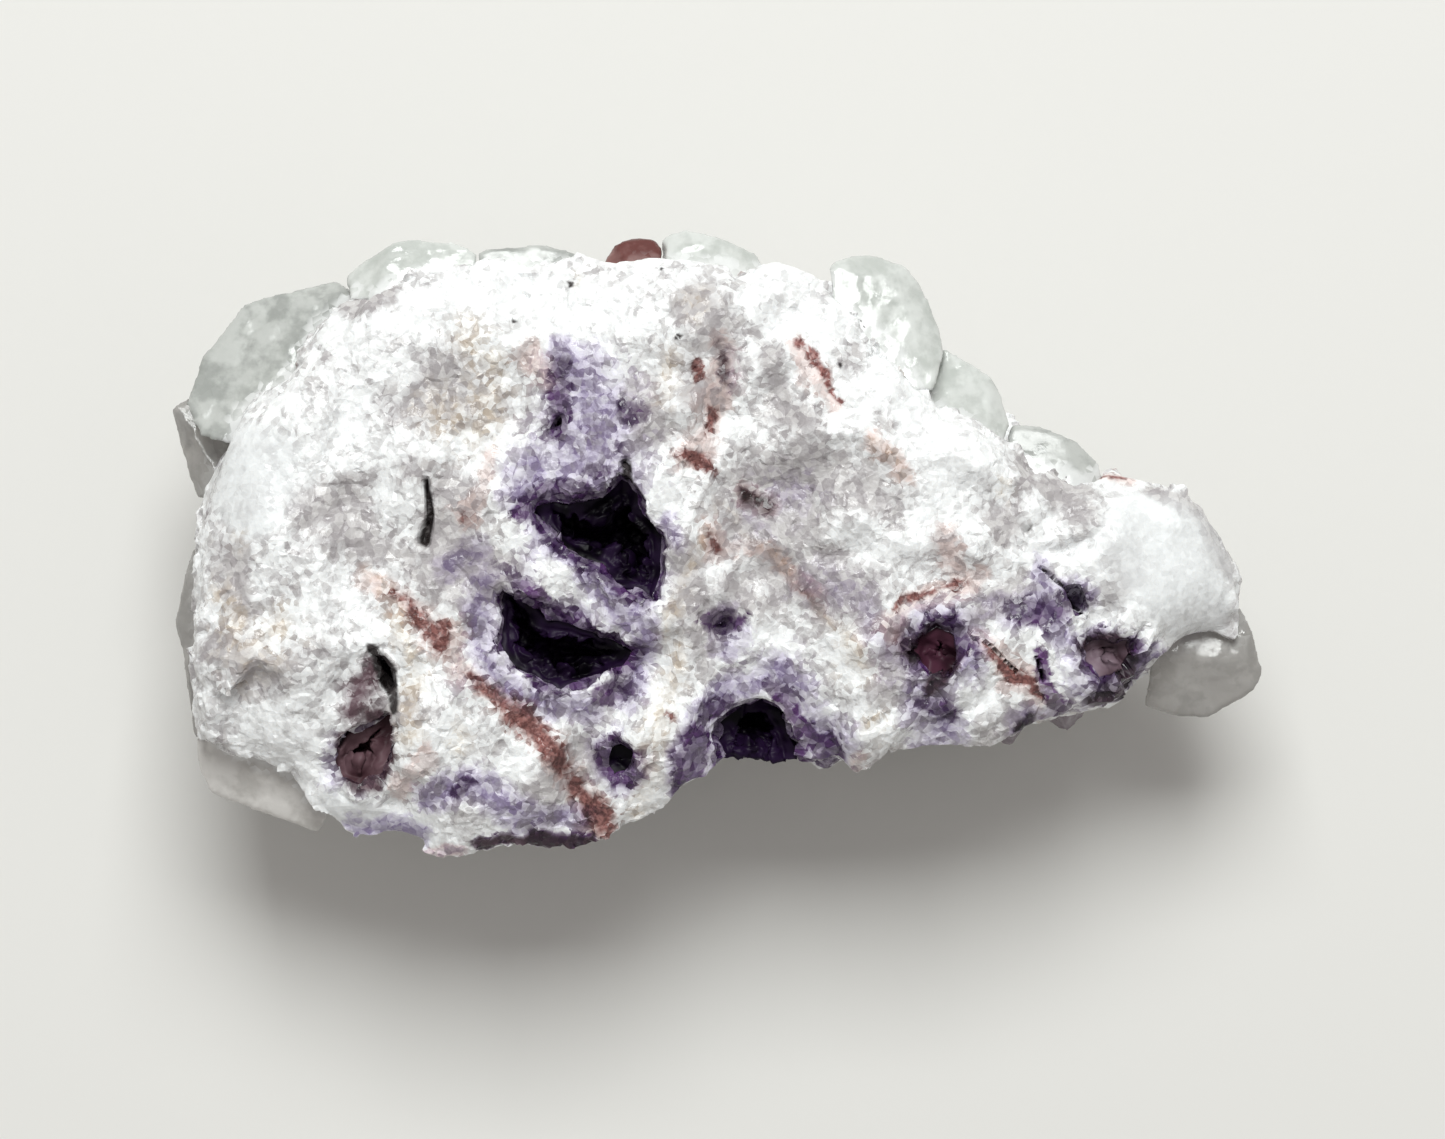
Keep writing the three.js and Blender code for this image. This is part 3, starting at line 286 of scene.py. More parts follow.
GREY_MARKS = [
    [(-28.6, 2.8, 2.2), (-25.4, 0.4, 2.4)],
    [(-27.0, 3.4, 1.8), (-27.0, 0.6, 2.2)],
    [(-22.8, 9.6, 2.8), (-20.0, 11.6, 3.0)],
    [(-19.0, 3.4, 2.2), (-19.8, -2.0, 2.8), (-16.8, -2.6, 2.0)],
    [(-35.2, -1.8, 1.5), (-34.8, -4.8, 1.4)],
    [(-33.6, -9.6, 2.6), (-36.6, -7.6, 1.4)],
    [(2.4, 2.8, 3.4), (4.8, 4.8, 3.2), (7.4, 4.6, 2.6)],
    [(1.8, 0.8, 2.4), (6.0, -2.6, 2.6), (10.0, -3.8, 2.4)],
    [(5.8, 1.4, 3.0), (3.4, -0.4, 2.2)],
    [(11.4, 3.6, 2.8), (12.8, 2.4, 2.2)],
    [(-0.8, 17.2, 2.0), (0.8, 13.6, 2.6), (-0.2, 10.4, 2.0)],
    [(-4.6, 8.8, 1.6), (-5.8, 10.8, 1.8)],
    [(7.4, -1.6, 2.2), (5.2, -3.4, 1.6)],
    [(1.4, -3.8, 2.0), (-1.2, -6.8, 1.8)],
    [(-2.2, -1.6, 1.6), (-1.6, -5.0, 1.4)],
    [(24.6, 4.4, 1.4), (26.2, 3.4, 1.7), (27.6, 1.6, 1.0)],
    [(22.6, 6.4, 1.2), (22.6, 4.6, 0.9)],
    [(30.2, -0.4, 1.2), (30.0, -3.4, 1.6)],
    [(16.4, 0.2, 1.2)],
    [(21.4, 1.6, 1.8)],
    [(13.4, -8.0, 2.2), (12.4, -11.0, 1.8)],
    [(9.4, 13.6, 1.2), (10.2, 14.4, 1.3)],
    [(12.4, 9.2, 1.0)],
    [(-9.8, -15.8, 1.8), (-12.6, -17.6, 1.6)],
    [(22.4, -3.0, 1.6), (19.6, -5.2, 1.6)],
    [(32.4, 4.2, 0.8), (35.2, 3.3, 1.0), (37.2, 2.0, 1.1), (38.0, -1.0, 0.8)],
    [(34.4, -5.6, 1.5), (37.8, -5.2, 1.3)],
    [(19.6, -13.4, 1.2), (26.0, -12.6, 1.2)],
    [(-24.4, -12.6, 1.2), (-22.6, -12.0, 1.4)],
    [(4.2, 13.8, 1.2), (4.2, 9.4, 1.6), (6.8, 9.0, 1.6)],
    [(-21.6, 5.8, 1.6)],
    [(-26.6, 17.8, 1.4), (-24.0, 18.4, 1.2)],
]
WHITE_MARKS = [
    [(-31.0, 9.4, 3.2), (-27.0, 8.0, 4.2)],
    [(-26.0, 15.4, 3.4), (-18.6, 18.2, 4.2), (-8.6, 17.6, 4.2)],
    [(-14.0, 16.8, 3.0)],
    [(6.4, 18.0, 4.6), (10.6, 12.4, 3.6), (15.6, 8.2, 5.0), (20.6, 6.0, 3.0)],
    [(17.0, 3.6, 3.4), (12.4, -0.6, 2.8), (10.4, 0.4, 1.8)],
    [(23.6, -0.2, 2.6), (27.4, -0.4, 2.6)],
    [(33.0, 1.4, 4.2), (34.6, -3.4, 3.8)],
    [(3.4, 11.2, 1.8), (2.6, 8.0, 2.0), (4.2, 6.8, 1.6)],
    [(-27.6, -4.2, 2.4)],
    [(-33.8, -12.8, 2.2), (-30.2, -16.2, 2.2)],
    [(-19.0, -14.6, 1.9)],
    [(-26.4, -20.2, 1.6), (-20.6, -21.0, 1.2)],
    [(-3.0, 3.8, 1.8)],
    [(-11.4, -3.4, 1.1)],
    [(-14.6, -0.4, 1.0)],
    [(25.6, -8.4, 1.2), (26.4, -10.4, 0.7)],
    [(19.0, -10.8, 1.9), (20.6, -12.4, 1.6), (18.2, -13.6, 1.6)],
    [(8.6, -8.6, 1.1), (9.6, -9.6, 1.1)],
    [(4.6, -7.2, 1.3)],
    [(-24.2, 2.4, 1.9)],
    [(0.8, -4.0, 1.0), (3.0, -3.6, 1.0)],
    [(-14.4, -16.2, 1.6), (-12.0, -13.0, 0.9)],
]

# The smooth sugary lobes at the two ends of the face and at its near edge.
GLASSY_MARKS = [
    [(-35.6, 7.6, 2.4), (-34.0, 5.0, 4.0), (-33.8, 2.6, 2.8)],
    [(31.0, 1.6, 2.6), (33.4, -1.0, 5.0), (35.4, -4.4, 3.4)],
    [(-28.0, -19.4, 1.4), (-22.0, -21.0, 1.2)],
]

# Where a cleft of the solid is only a shallow dip in the finished rock.
SHALLOW_PITS = [
    [(0.2, -5.7, 1.5), (1.2, -5.9, 1.5)],
]

# Dark specks.
SPECKS = [
    [(-2.7, 15.0, 0.3)],
    [(-10.6, 19.1, 0.24)],
    [(-13.0, 18.3, 0.24)],
    [(-25.2, -7.6, 0.4), (-24.2, -9.4, 0.9), (-23.7, -10.8, 0.5), (-23.5, -12.4, 0.3)],
    [(-14.8, 16.4, 0.26)],
    [(22.9, 1.4, 0.5)],
    [(9.2, 13.0, 0.24)],
    [(-4.0, 20.2, 0.22)],
]

# Narrow cracks in the face: their line and half widths, and how deep they are, in mm.
# Each crack is also painted near black along its line: painted shade inside it.
CRACK_DEPTH = 1.1
CRACKS = [
    [(-21.2, 4.5, 0.22), (-20.9, 2.0, 0.3), (-21.4, 0.2, 0.5)],
    [(23.7, -8.4, 0.14), (24.2, -10.0, 0.18)],
    [(20.0, -7.4, 0.1), (22.2, -9.4, 0.14)],
    [(24.0, -1.6, 0.1), (25.8, -3.2, 0.14), (27.2, -5.2, 0.16)],
    [(-6.5, 5.6, 0.4), (-6.3, 2.8, 0.55)],
]

# The crystals at the rim and on the sides.
CRYSTAL_VOXEL = 0.28        # mm, the pitch that a crystal is meshed at
CRYSTAL_WEAR = 2            # smoothing steps, which wear a crystal's edges round
CRYSTAL_WAVES = [(2.8, 0.11), (1.2, 0.03)]  # size and height, in mm, of what makes faces uneven
CRYSTAL_CHIPS = [(2.2, 0.07), (0.9, 0.03)]  # the same for its flat chips
FROST_WIDTH = 1.4           # mm, how far from the rock a crystal is still sugary and white

# The crusts of amethyst points in the hollows.
FINE_POINTS = (1.0, 0.55)   # mm, how wide and how tall the points in the hollows are
LARGE_POINTS = (1.9, 0.75)  # mm, the same in the pockets
TIP_HEIGHT = 0.75           # how tall a point is on average, as a share of the tallest
TIP_VARIETY = 0.25          # by how much that differs from one point to another
TIP_SLOPE = 1.2             # how much of it a point loses over its own width
CRUST_VOXEL = 0.13          # mm, the pitch that a crust is meshed at
LIP = 1.2                   # mm, how far from the rock a crust's inner side is
LIP_FROM = 0.3              # mm, how far from it the crust's lip begins
LIP_UP = (0.4, 0.8)         # the upward part of what the lip faces, over which it begins
LIP_INSIDE = 0.25           # mm, the width over which the points of the inner side begin
LIP_DROP = 1.1              # mm, how far the lip falls away towards that inner side
LIP_ROUNDS = 12             # steps from one point of the mesh to the next
LIP_FADE = 0.9              # what is left of the fall after each step


# ---------------- repeatable noise

def random_of(cells, seed, count):
    """Repeatable numbers in 0..1 for whole-number grid cells: count for each cell."""
    x, y, z = cells.astype(np.int64).astype(np.uint64).T
    mixed = x * np.uint64(73856093) ^ y * np.uint64(19349663) ^ z * np.uint64(83492791)
    mixed = mixed + np.uint64(seed) * np.uint64(0x9E3779B97F4A7C15)
    numbers = []
    for _ in range(count):
        mixed = (mixed ^ (mixed >> np.uint64(30))) * np.uint64(0xBF58476D1CE4E5B9)
        mixed = (mixed ^ (mixed >> np.uint64(27))) * np.uint64(0x94D049BB133111EB)
        mixed = mixed ^ (mixed >> np.uint64(31))
        numbers.append((mixed >> np.uint64(11)).astype(float) / 2.0**53)
    return np.stack(numbers, axis=1)


def nearest_seed(points, size, seed):
    """The cell of each point's nearest seed, and the point's offset from it. Each cell has a seed."""
    own = np.floor(points / size)
    nearest = np.full(len(points), np.inf)
    cells = own.copy()
    offsets = np.zeros_like(points)
    for step in itertools.product((-1, 0, 1), repeat=3):
        cell = own + step
        offset = points - (cell + random_of(cell, seed, 3)) * size
        distance = (offset**2).sum(axis=1)
        nearer = distance < nearest
        nearest[nearer] = distance[nearer]
        cells[nearer] = cell[nearer]
        offsets[nearer] = offset[nearer]
    return cells, offsets


def plates(points, size, seed):
    """The height, about -1 to 1, of a surface of flat broken plates, each tilted its own way."""
    cells, offsets = nearest_seed(points, size, seed)
    numbers = random_of(cells, seed + 1, 4) * 2 - 1
    tilted = (offsets * numbers[:, :3]).sum(axis=1) / size
    return tilted * (1 - STEP_SHARE) * 2 + numbers[:, 3] * STEP_SHARE


def clouds(points, size, seed):
    """Smooth noise, about -1 to 1, with soft lumps of that size."""
    scaled = points / size
    corner = np.floor(scaled)
    share = scaled - corner
    share = share * share * (3 - 2 * share)
    total = np.zeros(len(points))
    for step in itertools.product((0, 1), repeat=3):
        weight = np.prod(np.where(step, share, 1 - share), axis=1)
        total += weight * random_of(corner + step, seed, 1)[:, 0]
    return total * 2 - 1


def layered(noise, points, layers, seed):
    """One kind of noise at several sizes, added up. Each layer is a size and a height."""
    return sum(height * noise(points, size, seed + turn) for turn, (size, height) in enumerate(layers))


def wandered(points, layers, share, seed):
    """The points moved about by a share of each layer's reach, so that an edge is uneven."""
    moved = points.copy()
    for turn, (size, reach) in enumerate(layers):
        for axis in range(3):
            moved[:, axis] += share * reach * clouds(points, size, seed + 3 * turn + axis)
    return moved


def smooth_step(low, high, values):
    """0 below low, 1 above high and a soft ramp between them."""
    share = np.clip((values - low) / (high - low), 0, 1)
    return share * share * (3 - 2 * share)


# ---------------- meshes

def points_of(mesh):
    """A mesh's vertices as an array, in mm."""
    flat = np.empty(len(mesh.vertices) * 3)
    mesh.vertices.foreach_get("co", flat)
    return flat.reshape(-1, 3) / MM


def normals_of(mesh):
    """The way that each vertex faces."""
    flat = np.empty(len(mesh.vertices) * 3)
    mesh.vertex_normals.foreach_get("vector", flat)
    return flat.reshape(-1, 3)


def set_points(mesh, points):
    """Moves a mesh's vertices to these places, in mm."""
    mesh.vertices.foreach_set("co", (points * MM).ravel())
    mesh.update()


def tree_of(*names):
    """A search tree of the CAD nodes' surfaces, in mm."""
    corners = []
    faces = []
    for name in names:
        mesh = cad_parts[name].data
        first = len(corners)
        faces += [[first + i for i in polygon.vertices] for polygon in mesh.polygons]
        corners += [vertex.co / MM for vertex in mesh.vertices]
    return BVHTree.FromPolygons(corners, faces)


def new_piece(name, mesh, material, stands_for):
    """A finished piece of the specimen, which rides with it and replaces a CAD node."""
    piece = bpy.data.objects.new(name, mesh)
    bpy.context.collection.objects.link(piece)
    mesh.materials.clear()
    mesh.materials.append(material)
    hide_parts(stands_for)
    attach(piece, BODY)


def through_modifiers(mesh, *modifiers):
    """The mesh after these modifiers, each (kind, settings)."""
    helper = bpy.data.objects.new("helper", mesh)
    bpy.context.collection.objects.link(helper)
    for kind, settings in modifiers:
        modifier = helper.modifiers.new(kind, kind)
        for setting, value in settings.items():
            setattr(modifier, setting, value)
    graph = bpy.context.evaluated_depsgraph_get()
    result = bpy.data.meshes.new_from_object(helper.evaluated_get(graph))
    bpy.data.objects.remove(helper)
    return result


def smoothing(steps):
    """The modifier that smooths a mesh in that many steps."""
    return "SMOOTH", {"factor": SMOOTHING, "iterations": steps}


def finely_meshed(name, pitch, *modifiers):
    """A CAD node's solid, copied, meshed afresh at that pitch in mm, then put through modifiers."""
    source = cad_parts[name].data.copy()
    remeshing = ("REMESH", {"mode": "VOXEL", "voxel_size": pitch * MM})
    return through_modifiers(source, remeshing, *modifiers)


def add_attribute(mesh, name, values):
    """One number from 0 to 1 for each vertex, which the mesh's material reads by name."""
    attribute = mesh.attributes.new(name, "FLOAT", "POINT")
    attribute.data.foreach_set("value", np.clip(values, 0, 1))


def nearest_on(tree, points):
    """For each point, the nearest place on the tree's surface and its distance, in mm."""
    places = np.empty_like(points)
    distances = np.empty(len(points))
    for i, point in enumerate(points):
        place, _, _, distance = tree.find_nearest(point)
        places[i] = place
        distances[i] = distance
    return places, distances


# ---------------- the rock's shape

def rim_share(points):
    """How far the face runs over a crust at each place of the rim, from 0 to 1."""
    coarse = clouds(points, 1.5, RIM_COVER_SEED)
    fine = clouds(points, 0.6, RIM_COVER_SEED + 1)
    return np.clip(0.2 + 0.9 * coarse + 0.6 * fine, 0, 1)


def drawn_to(points, tree, over=0.0):
    """Rock across the narrow gap from a crystal or crust grows onto it, and over it by a share."""
    places, distances = nearest_on(tree, points)
    way = (places - points) / np.maximum(distances, TINY)[:, None]
    pull = 1 - smooth_step(SEAM * SEAM_FULL, SEAM, distances)
    points = points + way * ((distances + SEAM_OVERLAP + RIM_REACH * over) * pull)[:, None]
    points[:, 2] += RIM_LIFT * over * pull
    return points


def within_box(points):
    """The points, with any that are outside the solids' own box brought back to it."""
    low, high = (np.array(corner) / MM for corner in CAD_BOX)
    return np.clip(points, low, high)


def face_share(points, normals):
    """1 on the broken face that looks up, and 0 on the flanks and below."""
    up = smooth_step(*FACE_UP, normals[:, 2])
    return up * smooth_step(FACE_FROM, FACE_FROM + HEIGHT_FADE, points[:, 2])


def rough_height(points, face):
    """How far the broken surface stands out, in mm."""
    lumps = layered(clouds, points, FACE_LUMPS, FACE_LUMP_SEED)
    fine = layered(plates, points, FACE_PLATES, FACE_PLATE_SEED)
    coarse = layered(plates, points, FLANK_PLATES, FLANK_PLATE_SEED)
    return face * (fine + lumps) + (1 - face) * coarse


def rounded(mesh, points, steps, share):
    """The points moved by their share of the way to where that many smoothing steps take them."""
    softer = through_modifiers(mesh.copy(), smoothing(steps))
    return points + (points_of(softer) - points) * share[:, None]


def rock_mesh():
    """The rock: meshed finely, worn, broken, grown against its crystals and crusts, and thinned."""
    mesh = finely_meshed(MATRIX, VOXEL)
    points = points_of(mesh)
    crusts = tree_of(*CRUSTS)

    # The solid's own faces are rounded off, and the lobes and shallow pits much more.
    lifted = smooth_step(*RESTING, points[:, 2])
    smooth = smooth_step(*LOBE_EDGE, marks_share(points, GLASSY_MARKS)) * lifted
    shallow = smooth_step(*PIT_EDGE, marks_share(points, SHALLOW_PITS))
    _, distances = nearest_on(crusts, points)
    away = smooth_step(*CRUST_EDGE, distances) * lifted
    points = rounded(mesh, points, ROCK_ROUNDING, away)
    points = rounded(mesh, points, LOBE_ROUNDING, away * np.maximum(smooth, shallow))
    set_points(mesh, points)

    # The broken relief and the cracks.
    normals = normals_of(mesh)
    face = face_share(points, normals)
    height = rough_height(points, face) * lifted * (1 - LOBE_SMOOTHNESS * smooth)
    height -= CRACK_DEPTH * face * marks_share(points, CRACKS)
    points = points + normals * height[:, None]

    # The edges against the crystals and the crusts, which then bend together with the crusts.
    points = drawn_to(points, tree_of(*CRYSTALS))
    points = drawn_to(points, crusts, face * rim_share(points))
    _, distances = nearest_on(crusts, points)
    bent = 1 - smooth_step(*RIM_ROUND, distances)
    set_points(mesh, within_box(wandered(points, RIM_WANDER, bent, RIM_SEED)))

    triangles = sum(len(polygon.vertices) - 2 for polygon in mesh.polygons)
    ratio = min(1.0, ROCK_TRIANGLES / triangles)
    mesh = through_modifiers(mesh, ("DECIMATE", {"ratio": ratio}))
    paint_marks(mesh)
    return mesh


# ---------------- marks on the rock

def mark_share(points, mark):
    """1 on the middle line of a mark, falling to 0 at its edge and outside it."""
    flat = points[:, :2] - MARKS_ORIGIN
    share = np.zeros(len(points))
    for start, end in zip(mark, mark[1:] or mark):
        start = np.array(start)
        way = np.array(end) - start
        squared = max(way[:2] @ way[:2], TINY)
        along = np.clip((flat - start[:2]) @ way[:2] / squared, 0, 1)
        nearest = start + along[:, None] * way
        distance = np.linalg.norm(flat - nearest[:, :2], axis=1)
        share = np.maximum(share, 1 - distance / nearest[:, 2] / MARK_SPREAD)
    return share


def marks_share(points, marks):
    """The strongest of several marks at each point."""
    return np.max([mark_share(points, mark) for mark in marks], axis=0)


def haloes(points, moved):
    """How violet the rock is for being near a hollow's crust, and how deep violet at its edge."""
    violet = np.zeros(len(points))
    deep = np.zeros(len(points))
    unbent = wandered(points, RIM_WANDER, -1, RIM_SEED)
    for name, strength in HALOES.items():
        low, high = (np.array(corner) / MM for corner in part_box(name))
        near = np.all((points > low - HALO_WIDTH) & (points < high + HALO_WIDTH), axis=1)
        tree = tree_of(name)
        _, uneven = nearest_on(tree, moved[near])
        _, straight = nearest_on(tree, unbent[near])
        layers = [
            (violet, HALO_WIDTH, uneven),
            (deep, RIM_WIDTH, uneven),
            (deep, EDGE_WIDTH, straight),
        ]
        for share, width, distances in layers:
            halo = strength * (1 - smooth_step(0, width, distances))
            share[near] = np.maximum(share[near], halo)
    return violet, deep


def facing_up(mesh, points):
    """1 where the rock looks up, fading unevenly to 0 on its steep sides and below."""
    softer = through_modifiers(mesh.copy(), smoothing(SIDE_ROUNDING))
    slope = normals_of(softer)[:, 2] + layered(clouds, points, SLOPE_WANDER, SLOPE_SEED)
    high = smooth_step(MARKS_FROM, MARKS_FROM + HEIGHT_FADE, points[:, 2])
    return smooth_step(*MARKS_UP, slope) * high


def patches(points, size, low, high, seed):
    """Separate soft patches of that size: 0 between them and 1 in their middles."""
    cloud = 0.7 * clouds(points, size, seed) + 0.3 * clouds(points, size / 2.4, seed + 1)
    return smooth_step(low, high, cloud)


def paint_marks(mesh):
    """Writes what the rock's material reads: where it is violet, rusty, grey and so on."""
    points = points_of(mesh)
    moved = wandered(points, MARK_WANDER, 1, MARK_SEED)
    high = facing_up(mesh, points)
    side = (1 - high)**2

    def marked(marks):
        return marks_share(moved, marks) * high

    on_sides = {name: patches(points, *form) * side for name, form in SIDE_PATCHES.items()}
    violet_halo, deep_halo = haloes(points, moved)
    violet = np.maximum(marked(VIOLET_MARKS), FAINT_VIOLET_SHARE * marked(FAINT_VIOLET_MARKS))
    violet = np.maximum(violet, SIDE_VIOLET * on_sides["violet"])
    faint_maroon = FAINT_MAROON_SHARE * marked(FAINT_MAROON_MARKS)
    shares = {
        "violet": np.maximum(violet, violet_halo),
        "deep_violet": np.maximum(marked(DEEP_VIOLET_MARKS), deep_halo),
        "maroon": np.maximum(marked(MAROON_MARKS), faint_maroon),
        "rust": marked(RUST_MARKS) + SIDE_RUST * on_sides["pink"]**3,
        "pink": marked(PINK_MARKS) + SIDE_PINK * on_sides["pink"],
        "cream": marked(CREAM_MARKS) + SIDE_CREAM * on_sides["cream"],
        "grey": marked(GREY_MARKS) + SIDE_GREY * on_sides["grey"],
        "white": marked(WHITE_MARKS),
        "glassy": marked(GLASSY_MARKS) * GLASSY_GAIN,
        # Dark specks, and painted shade along the cracks.
        "specks_and_crack_shade": marks_share(points, SPECKS + CRACKS) * high * DARK_GAIN,
    }
    for name, share in shares.items():
        add_attribute(mesh, name, share)


# ---------------- materials

class Paint:
    """Short calls for a material's nodes. Most give back the output of the node they add."""

    def __init__(self, name):
        self.material = bpy.data.materials.new(name)
        self.material.use_nodes = True
        self.tree = self.material.node_tree
        self.shader = self.tree.nodes["Principled BSDF"]

    def put(self, socket, value):
        """Gives an input a number, a colour or another node's output."""
        if isinstance(value, bpy.types.NodeSocket):
            self.tree.links.new(value, socket)
        elif socket.type == "RGBA" and isinstance(value, tuple):
            socket.default_value = (*value, 1)
        else:
            socket.default_value = value

    def set(self, **inputs):
        """Sets the Principled shader's inputs, each named with _ for a space."""
        for name, value in inputs.items():
            self.put(self.shader.inputs[name.replace("_", " ")], value)

    def node(self, kind, inputs, output=0, **settings):
        """Adds a shader node with these inputs and settings."""
        node = self.tree.nodes.new("ShaderNode" + kind)
        for setting, value in settings.items():
            setattr(node, setting, value)
        for name, value in inputs.items():
            self.put(node.inputs[name], value)
        return node.outputs[output]

    def read(self, name):
        """What add_attribute wrote under that name."""
        return self.node("Attribute", {}, "Fac", attribute_name=name)

    def place(self):
        """The point's place in the mesh, in mm."""
        metres = self.node("TexCoord", {}, "Object")
        return self.node("VectorMath", {0: metres, "Scale": 1 / MM}, operation="SCALE")

    def noise(self, place, size, detail):
        """Cloudy noise from 0 to 1, with forms of that size in mm."""
        return self.node("TexNoise", {"Vector": place, "Scale": 1 / size, "Detail": detail}, "Fac")

    def grains(self, place, size):
        """Three numbers from 0 to 1, as one colour, for each grain of that size in mm."""
        return self.node("TexVoronoi", {"Vector": place, "Scale": 1 / size}, "Color")

    def grain_number(self, place, size, which=0):
        """One of those three numbers."""
        return self.node("SeparateColor", {0: self.grains(place, size)}, which)

    def math(self, operation, first, second, third=0.0):
        return self.node("Math", {0: first, 1: second, 2: third}, operation=operation)

    def ramp(self, value, low, high, to_low=0.0, to_high=1.0):
        """Value from low..high turned into to_low..to_high, held at the ends."""
        inputs = {"Value": value, "From Min": low, "From Max": high}
        inputs.update({"To Min": to_low, "To Max": to_high})
        return self.node("MapRange", inputs, interpolation_type="SMOOTHSTEP")

    def mix(self, share, first, second, blend="MIX"):
        """The first colour, turned into the second as the share goes from 0 to 1."""
        inputs = {0: share, 6: first, 7: second}
        return self.node("Mix", inputs, 2, data_type="RGBA", blend_type=blend)

    def stain(self, share, colour, tint):
        """The colour seen through a stain of that share, which lets the tint's part through."""
        return self.mix(share, colour, tint, "MULTIPLY")

    def facets(self, place, size, tilt):
        """A surface of small grains, each facing its own way by about that tilt."""
        own = self.grains(place, size)
        own = self.node("VectorMath", {0: own, 1: (0.5, 0.5, 0.5)}, operation="SUBTRACT")
        own = self.node("VectorMath", {0: own, "Scale": 2 * tilt}, operation="SCALE")
        smooth = self.node("NewGeometry", {}, "Normal")
        both = self.node("VectorMath", {0: smooth, 1: own}, operation="ADD")
        return self.node("VectorMath", {0: both}, operation="NORMALIZE")

    def bump(self, height, depth, below=None):
        """Relief of that depth in mm, laid over the relief below it."""
        inputs = {"Height": height, "Distance": depth * MM}
        if below is not None:
            inputs["Normal"] = below
        return self.node("Bump", inputs)


# The rock's own colours, and the parts of red, green and blue that its stains let through.
WHITE = (0.88, 0.89, 0.90)
PALE = (0.785, 0.79, 0.795)
GREY = (0.55, 0.53, 0.53)
DARK_GREY = (0.365, 0.34, 0.35)
GLASSY_WHITE = (0.775, 0.79, 0.80)
CREAM = (0.95, 0.91, 0.86)
TAN = (0.87, 0.80, 0.71)
PINK = (0.88, 0.74, 0.71)
RUST = (0.41, 0.20, 0.185)
DARK_RUST = (0.22, 0.09, 0.085)
MAROON = (0.15, 0.085, 0.105)
LAVENDER = (0.72, 0.67, 0.79)
VIOLET = (0.40, 0.34, 0.49)
DEEP_VIOLET = (0.13, 0.04, 0.175)
# Near black for the dark specks, and for the painted shade in the cracks.
SPECK_AND_CRACK_SHADE = (0.05, 0.04, 0.04)

# The rock's stains in the order they are laid: the attribute that says where, how much its share
# is multiplied by, how softly it begins, the share it begins at, and the tint.
STAINS = [
    ("cream", 1.6, 0.5, 0.0, CREAM),
    ("cream", 1.2, 0.3, 0.35, TAN),
    ("pink", 2.2, 0.5, 0.0, PINK),
    ("violet", 3.2, 0.5, 0.0, LAVENDER),
    ("violet", 1.9, 0.5, 0.15, VIOLET),
    ("deep_violet", 3.0, 0.5, 0.0, DEEP_VIOLET),
]
QUARTZ_IOR = 1.544


def granular_quartz():
    """White sugary quartz with grey grains, violet, rust, pink and cream stains, dark specks, and painted
    shade in its cracks.
    """
    paint = Paint("granular_quartz")
    place = paint.place()
    patch = paint.grain_number(place, 1.9)
    coarse = paint.grain_number(place, 1.0)
    cell = paint.grain_number(place, 0.5)
    other = paint.grain_number(place, 0.62, 1)
    fine = paint.noise(place, 0.28, 3.0)
    cloud = paint.noise(place, 3.4, 4.0)
    broad = paint.noise(place, 9.0, 2.0)

    # Each grain's own number, from 0 to 1, says how soon it takes a stain.
    chance = paint.math("MULTIPLY_ADD", patch, 0.16, paint.math("MULTIPLY", coarse, 0.26))
    chance = paint.math("MULTIPLY_ADD", cell, 0.38, chance)
    chance = paint.math("MULTIPLY_ADD", fine, 0.20, chance)
    chance = paint.ramp(chance, 0.18, 0.82)

    def stained(share, softness):
        """How far each grain is reached by a stain of that share, from none to all of it."""
        return paint.ramp(paint.math("SUBTRACT", share, chance), -softness, softness)

    hold = paint.ramp(other, 0.0, 1.0, 0.6, 1.0)

    def marked(name, gain, softness, start):
        """The same for a mark, which begins where its attribute is above start."""
        share = paint.math("MULTIPLY_ADD", paint.read(name), gain, -softness - gain * start)
        return paint.math("MULTIPLY", stained(share, softness), hold)

    plain = paint.mix(paint.ramp(other, 0.0, 0.9), PALE, WHITE)
    grey_share = paint.math("MULTIPLY_ADD", cloud, 1.3, -0.72)
    grey_share = paint.math("MULTIPLY_ADD", broad, 0.8, grey_share)
    grey_share = paint.math("MULTIPLY_ADD", paint.read("grey"), 1.4, grey_share)
    grey_share = paint.math("MULTIPLY_ADD", paint.read("white"), -0.5, grey_share)
    grey = paint.mix(paint.ramp(other, 0.1, 0.9), DARK_GREY, GREY)
    colour = paint.mix(stained(grey_share, 0.6), plain, grey)
    colour = paint.mix(paint.ramp(paint.read("glassy"), 0.1, 0.7, 0.0, 0.75), colour, GLASSY_WHITE)
    for name, gain, softness, start, tint in STAINS:
        colour = paint.stain(marked(name, gain, softness, start), colour, tint)
    rust = paint.mix(paint.ramp(fine, 0.38, 0.6), DARK_RUST, RUST)
    share = paint.math("MULTIPLY_ADD", paint.read("rust"), 2.5, -0.62)
    colour = paint.stain(stained(share, 0.7), colour, rust)
    maroon = paint.math("MULTIPLY_ADD", chance, -0.25, paint.read("maroon"))
    colour = paint.stain(paint.ramp(maroon, 0.0, 0.55), colour, MAROON)
    # The dark specks, and painted shade along the cracks.
    colour = paint.stain(paint.ramp(paint.read("specks_and_crack_shade"), 0.3, 0.9), colour, SPECK_AND_CRACK_SHADE)
    smooth = paint.math("MULTIPLY_ADD", paint.read("glassy"), -0.4, 1.0)
    relief = paint.facets(place, 0.42, 0.12)
    relief = paint.bump(paint.math("MULTIPLY", fine, smooth), 0.04, relief)
    paint.set(Base_Color=colour, Normal=relief, IOR=QUARTZ_IOR)
    paint.set(Roughness=paint.ramp(cell, 0.0, 1.0, 0.22, 0.6))
    paint.set(Subsurface_Weight=0.25, Subsurface_Radius=(1.0, 0.95, 0.9), Subsurface_Scale=0.4 * MM)
    return paint.material


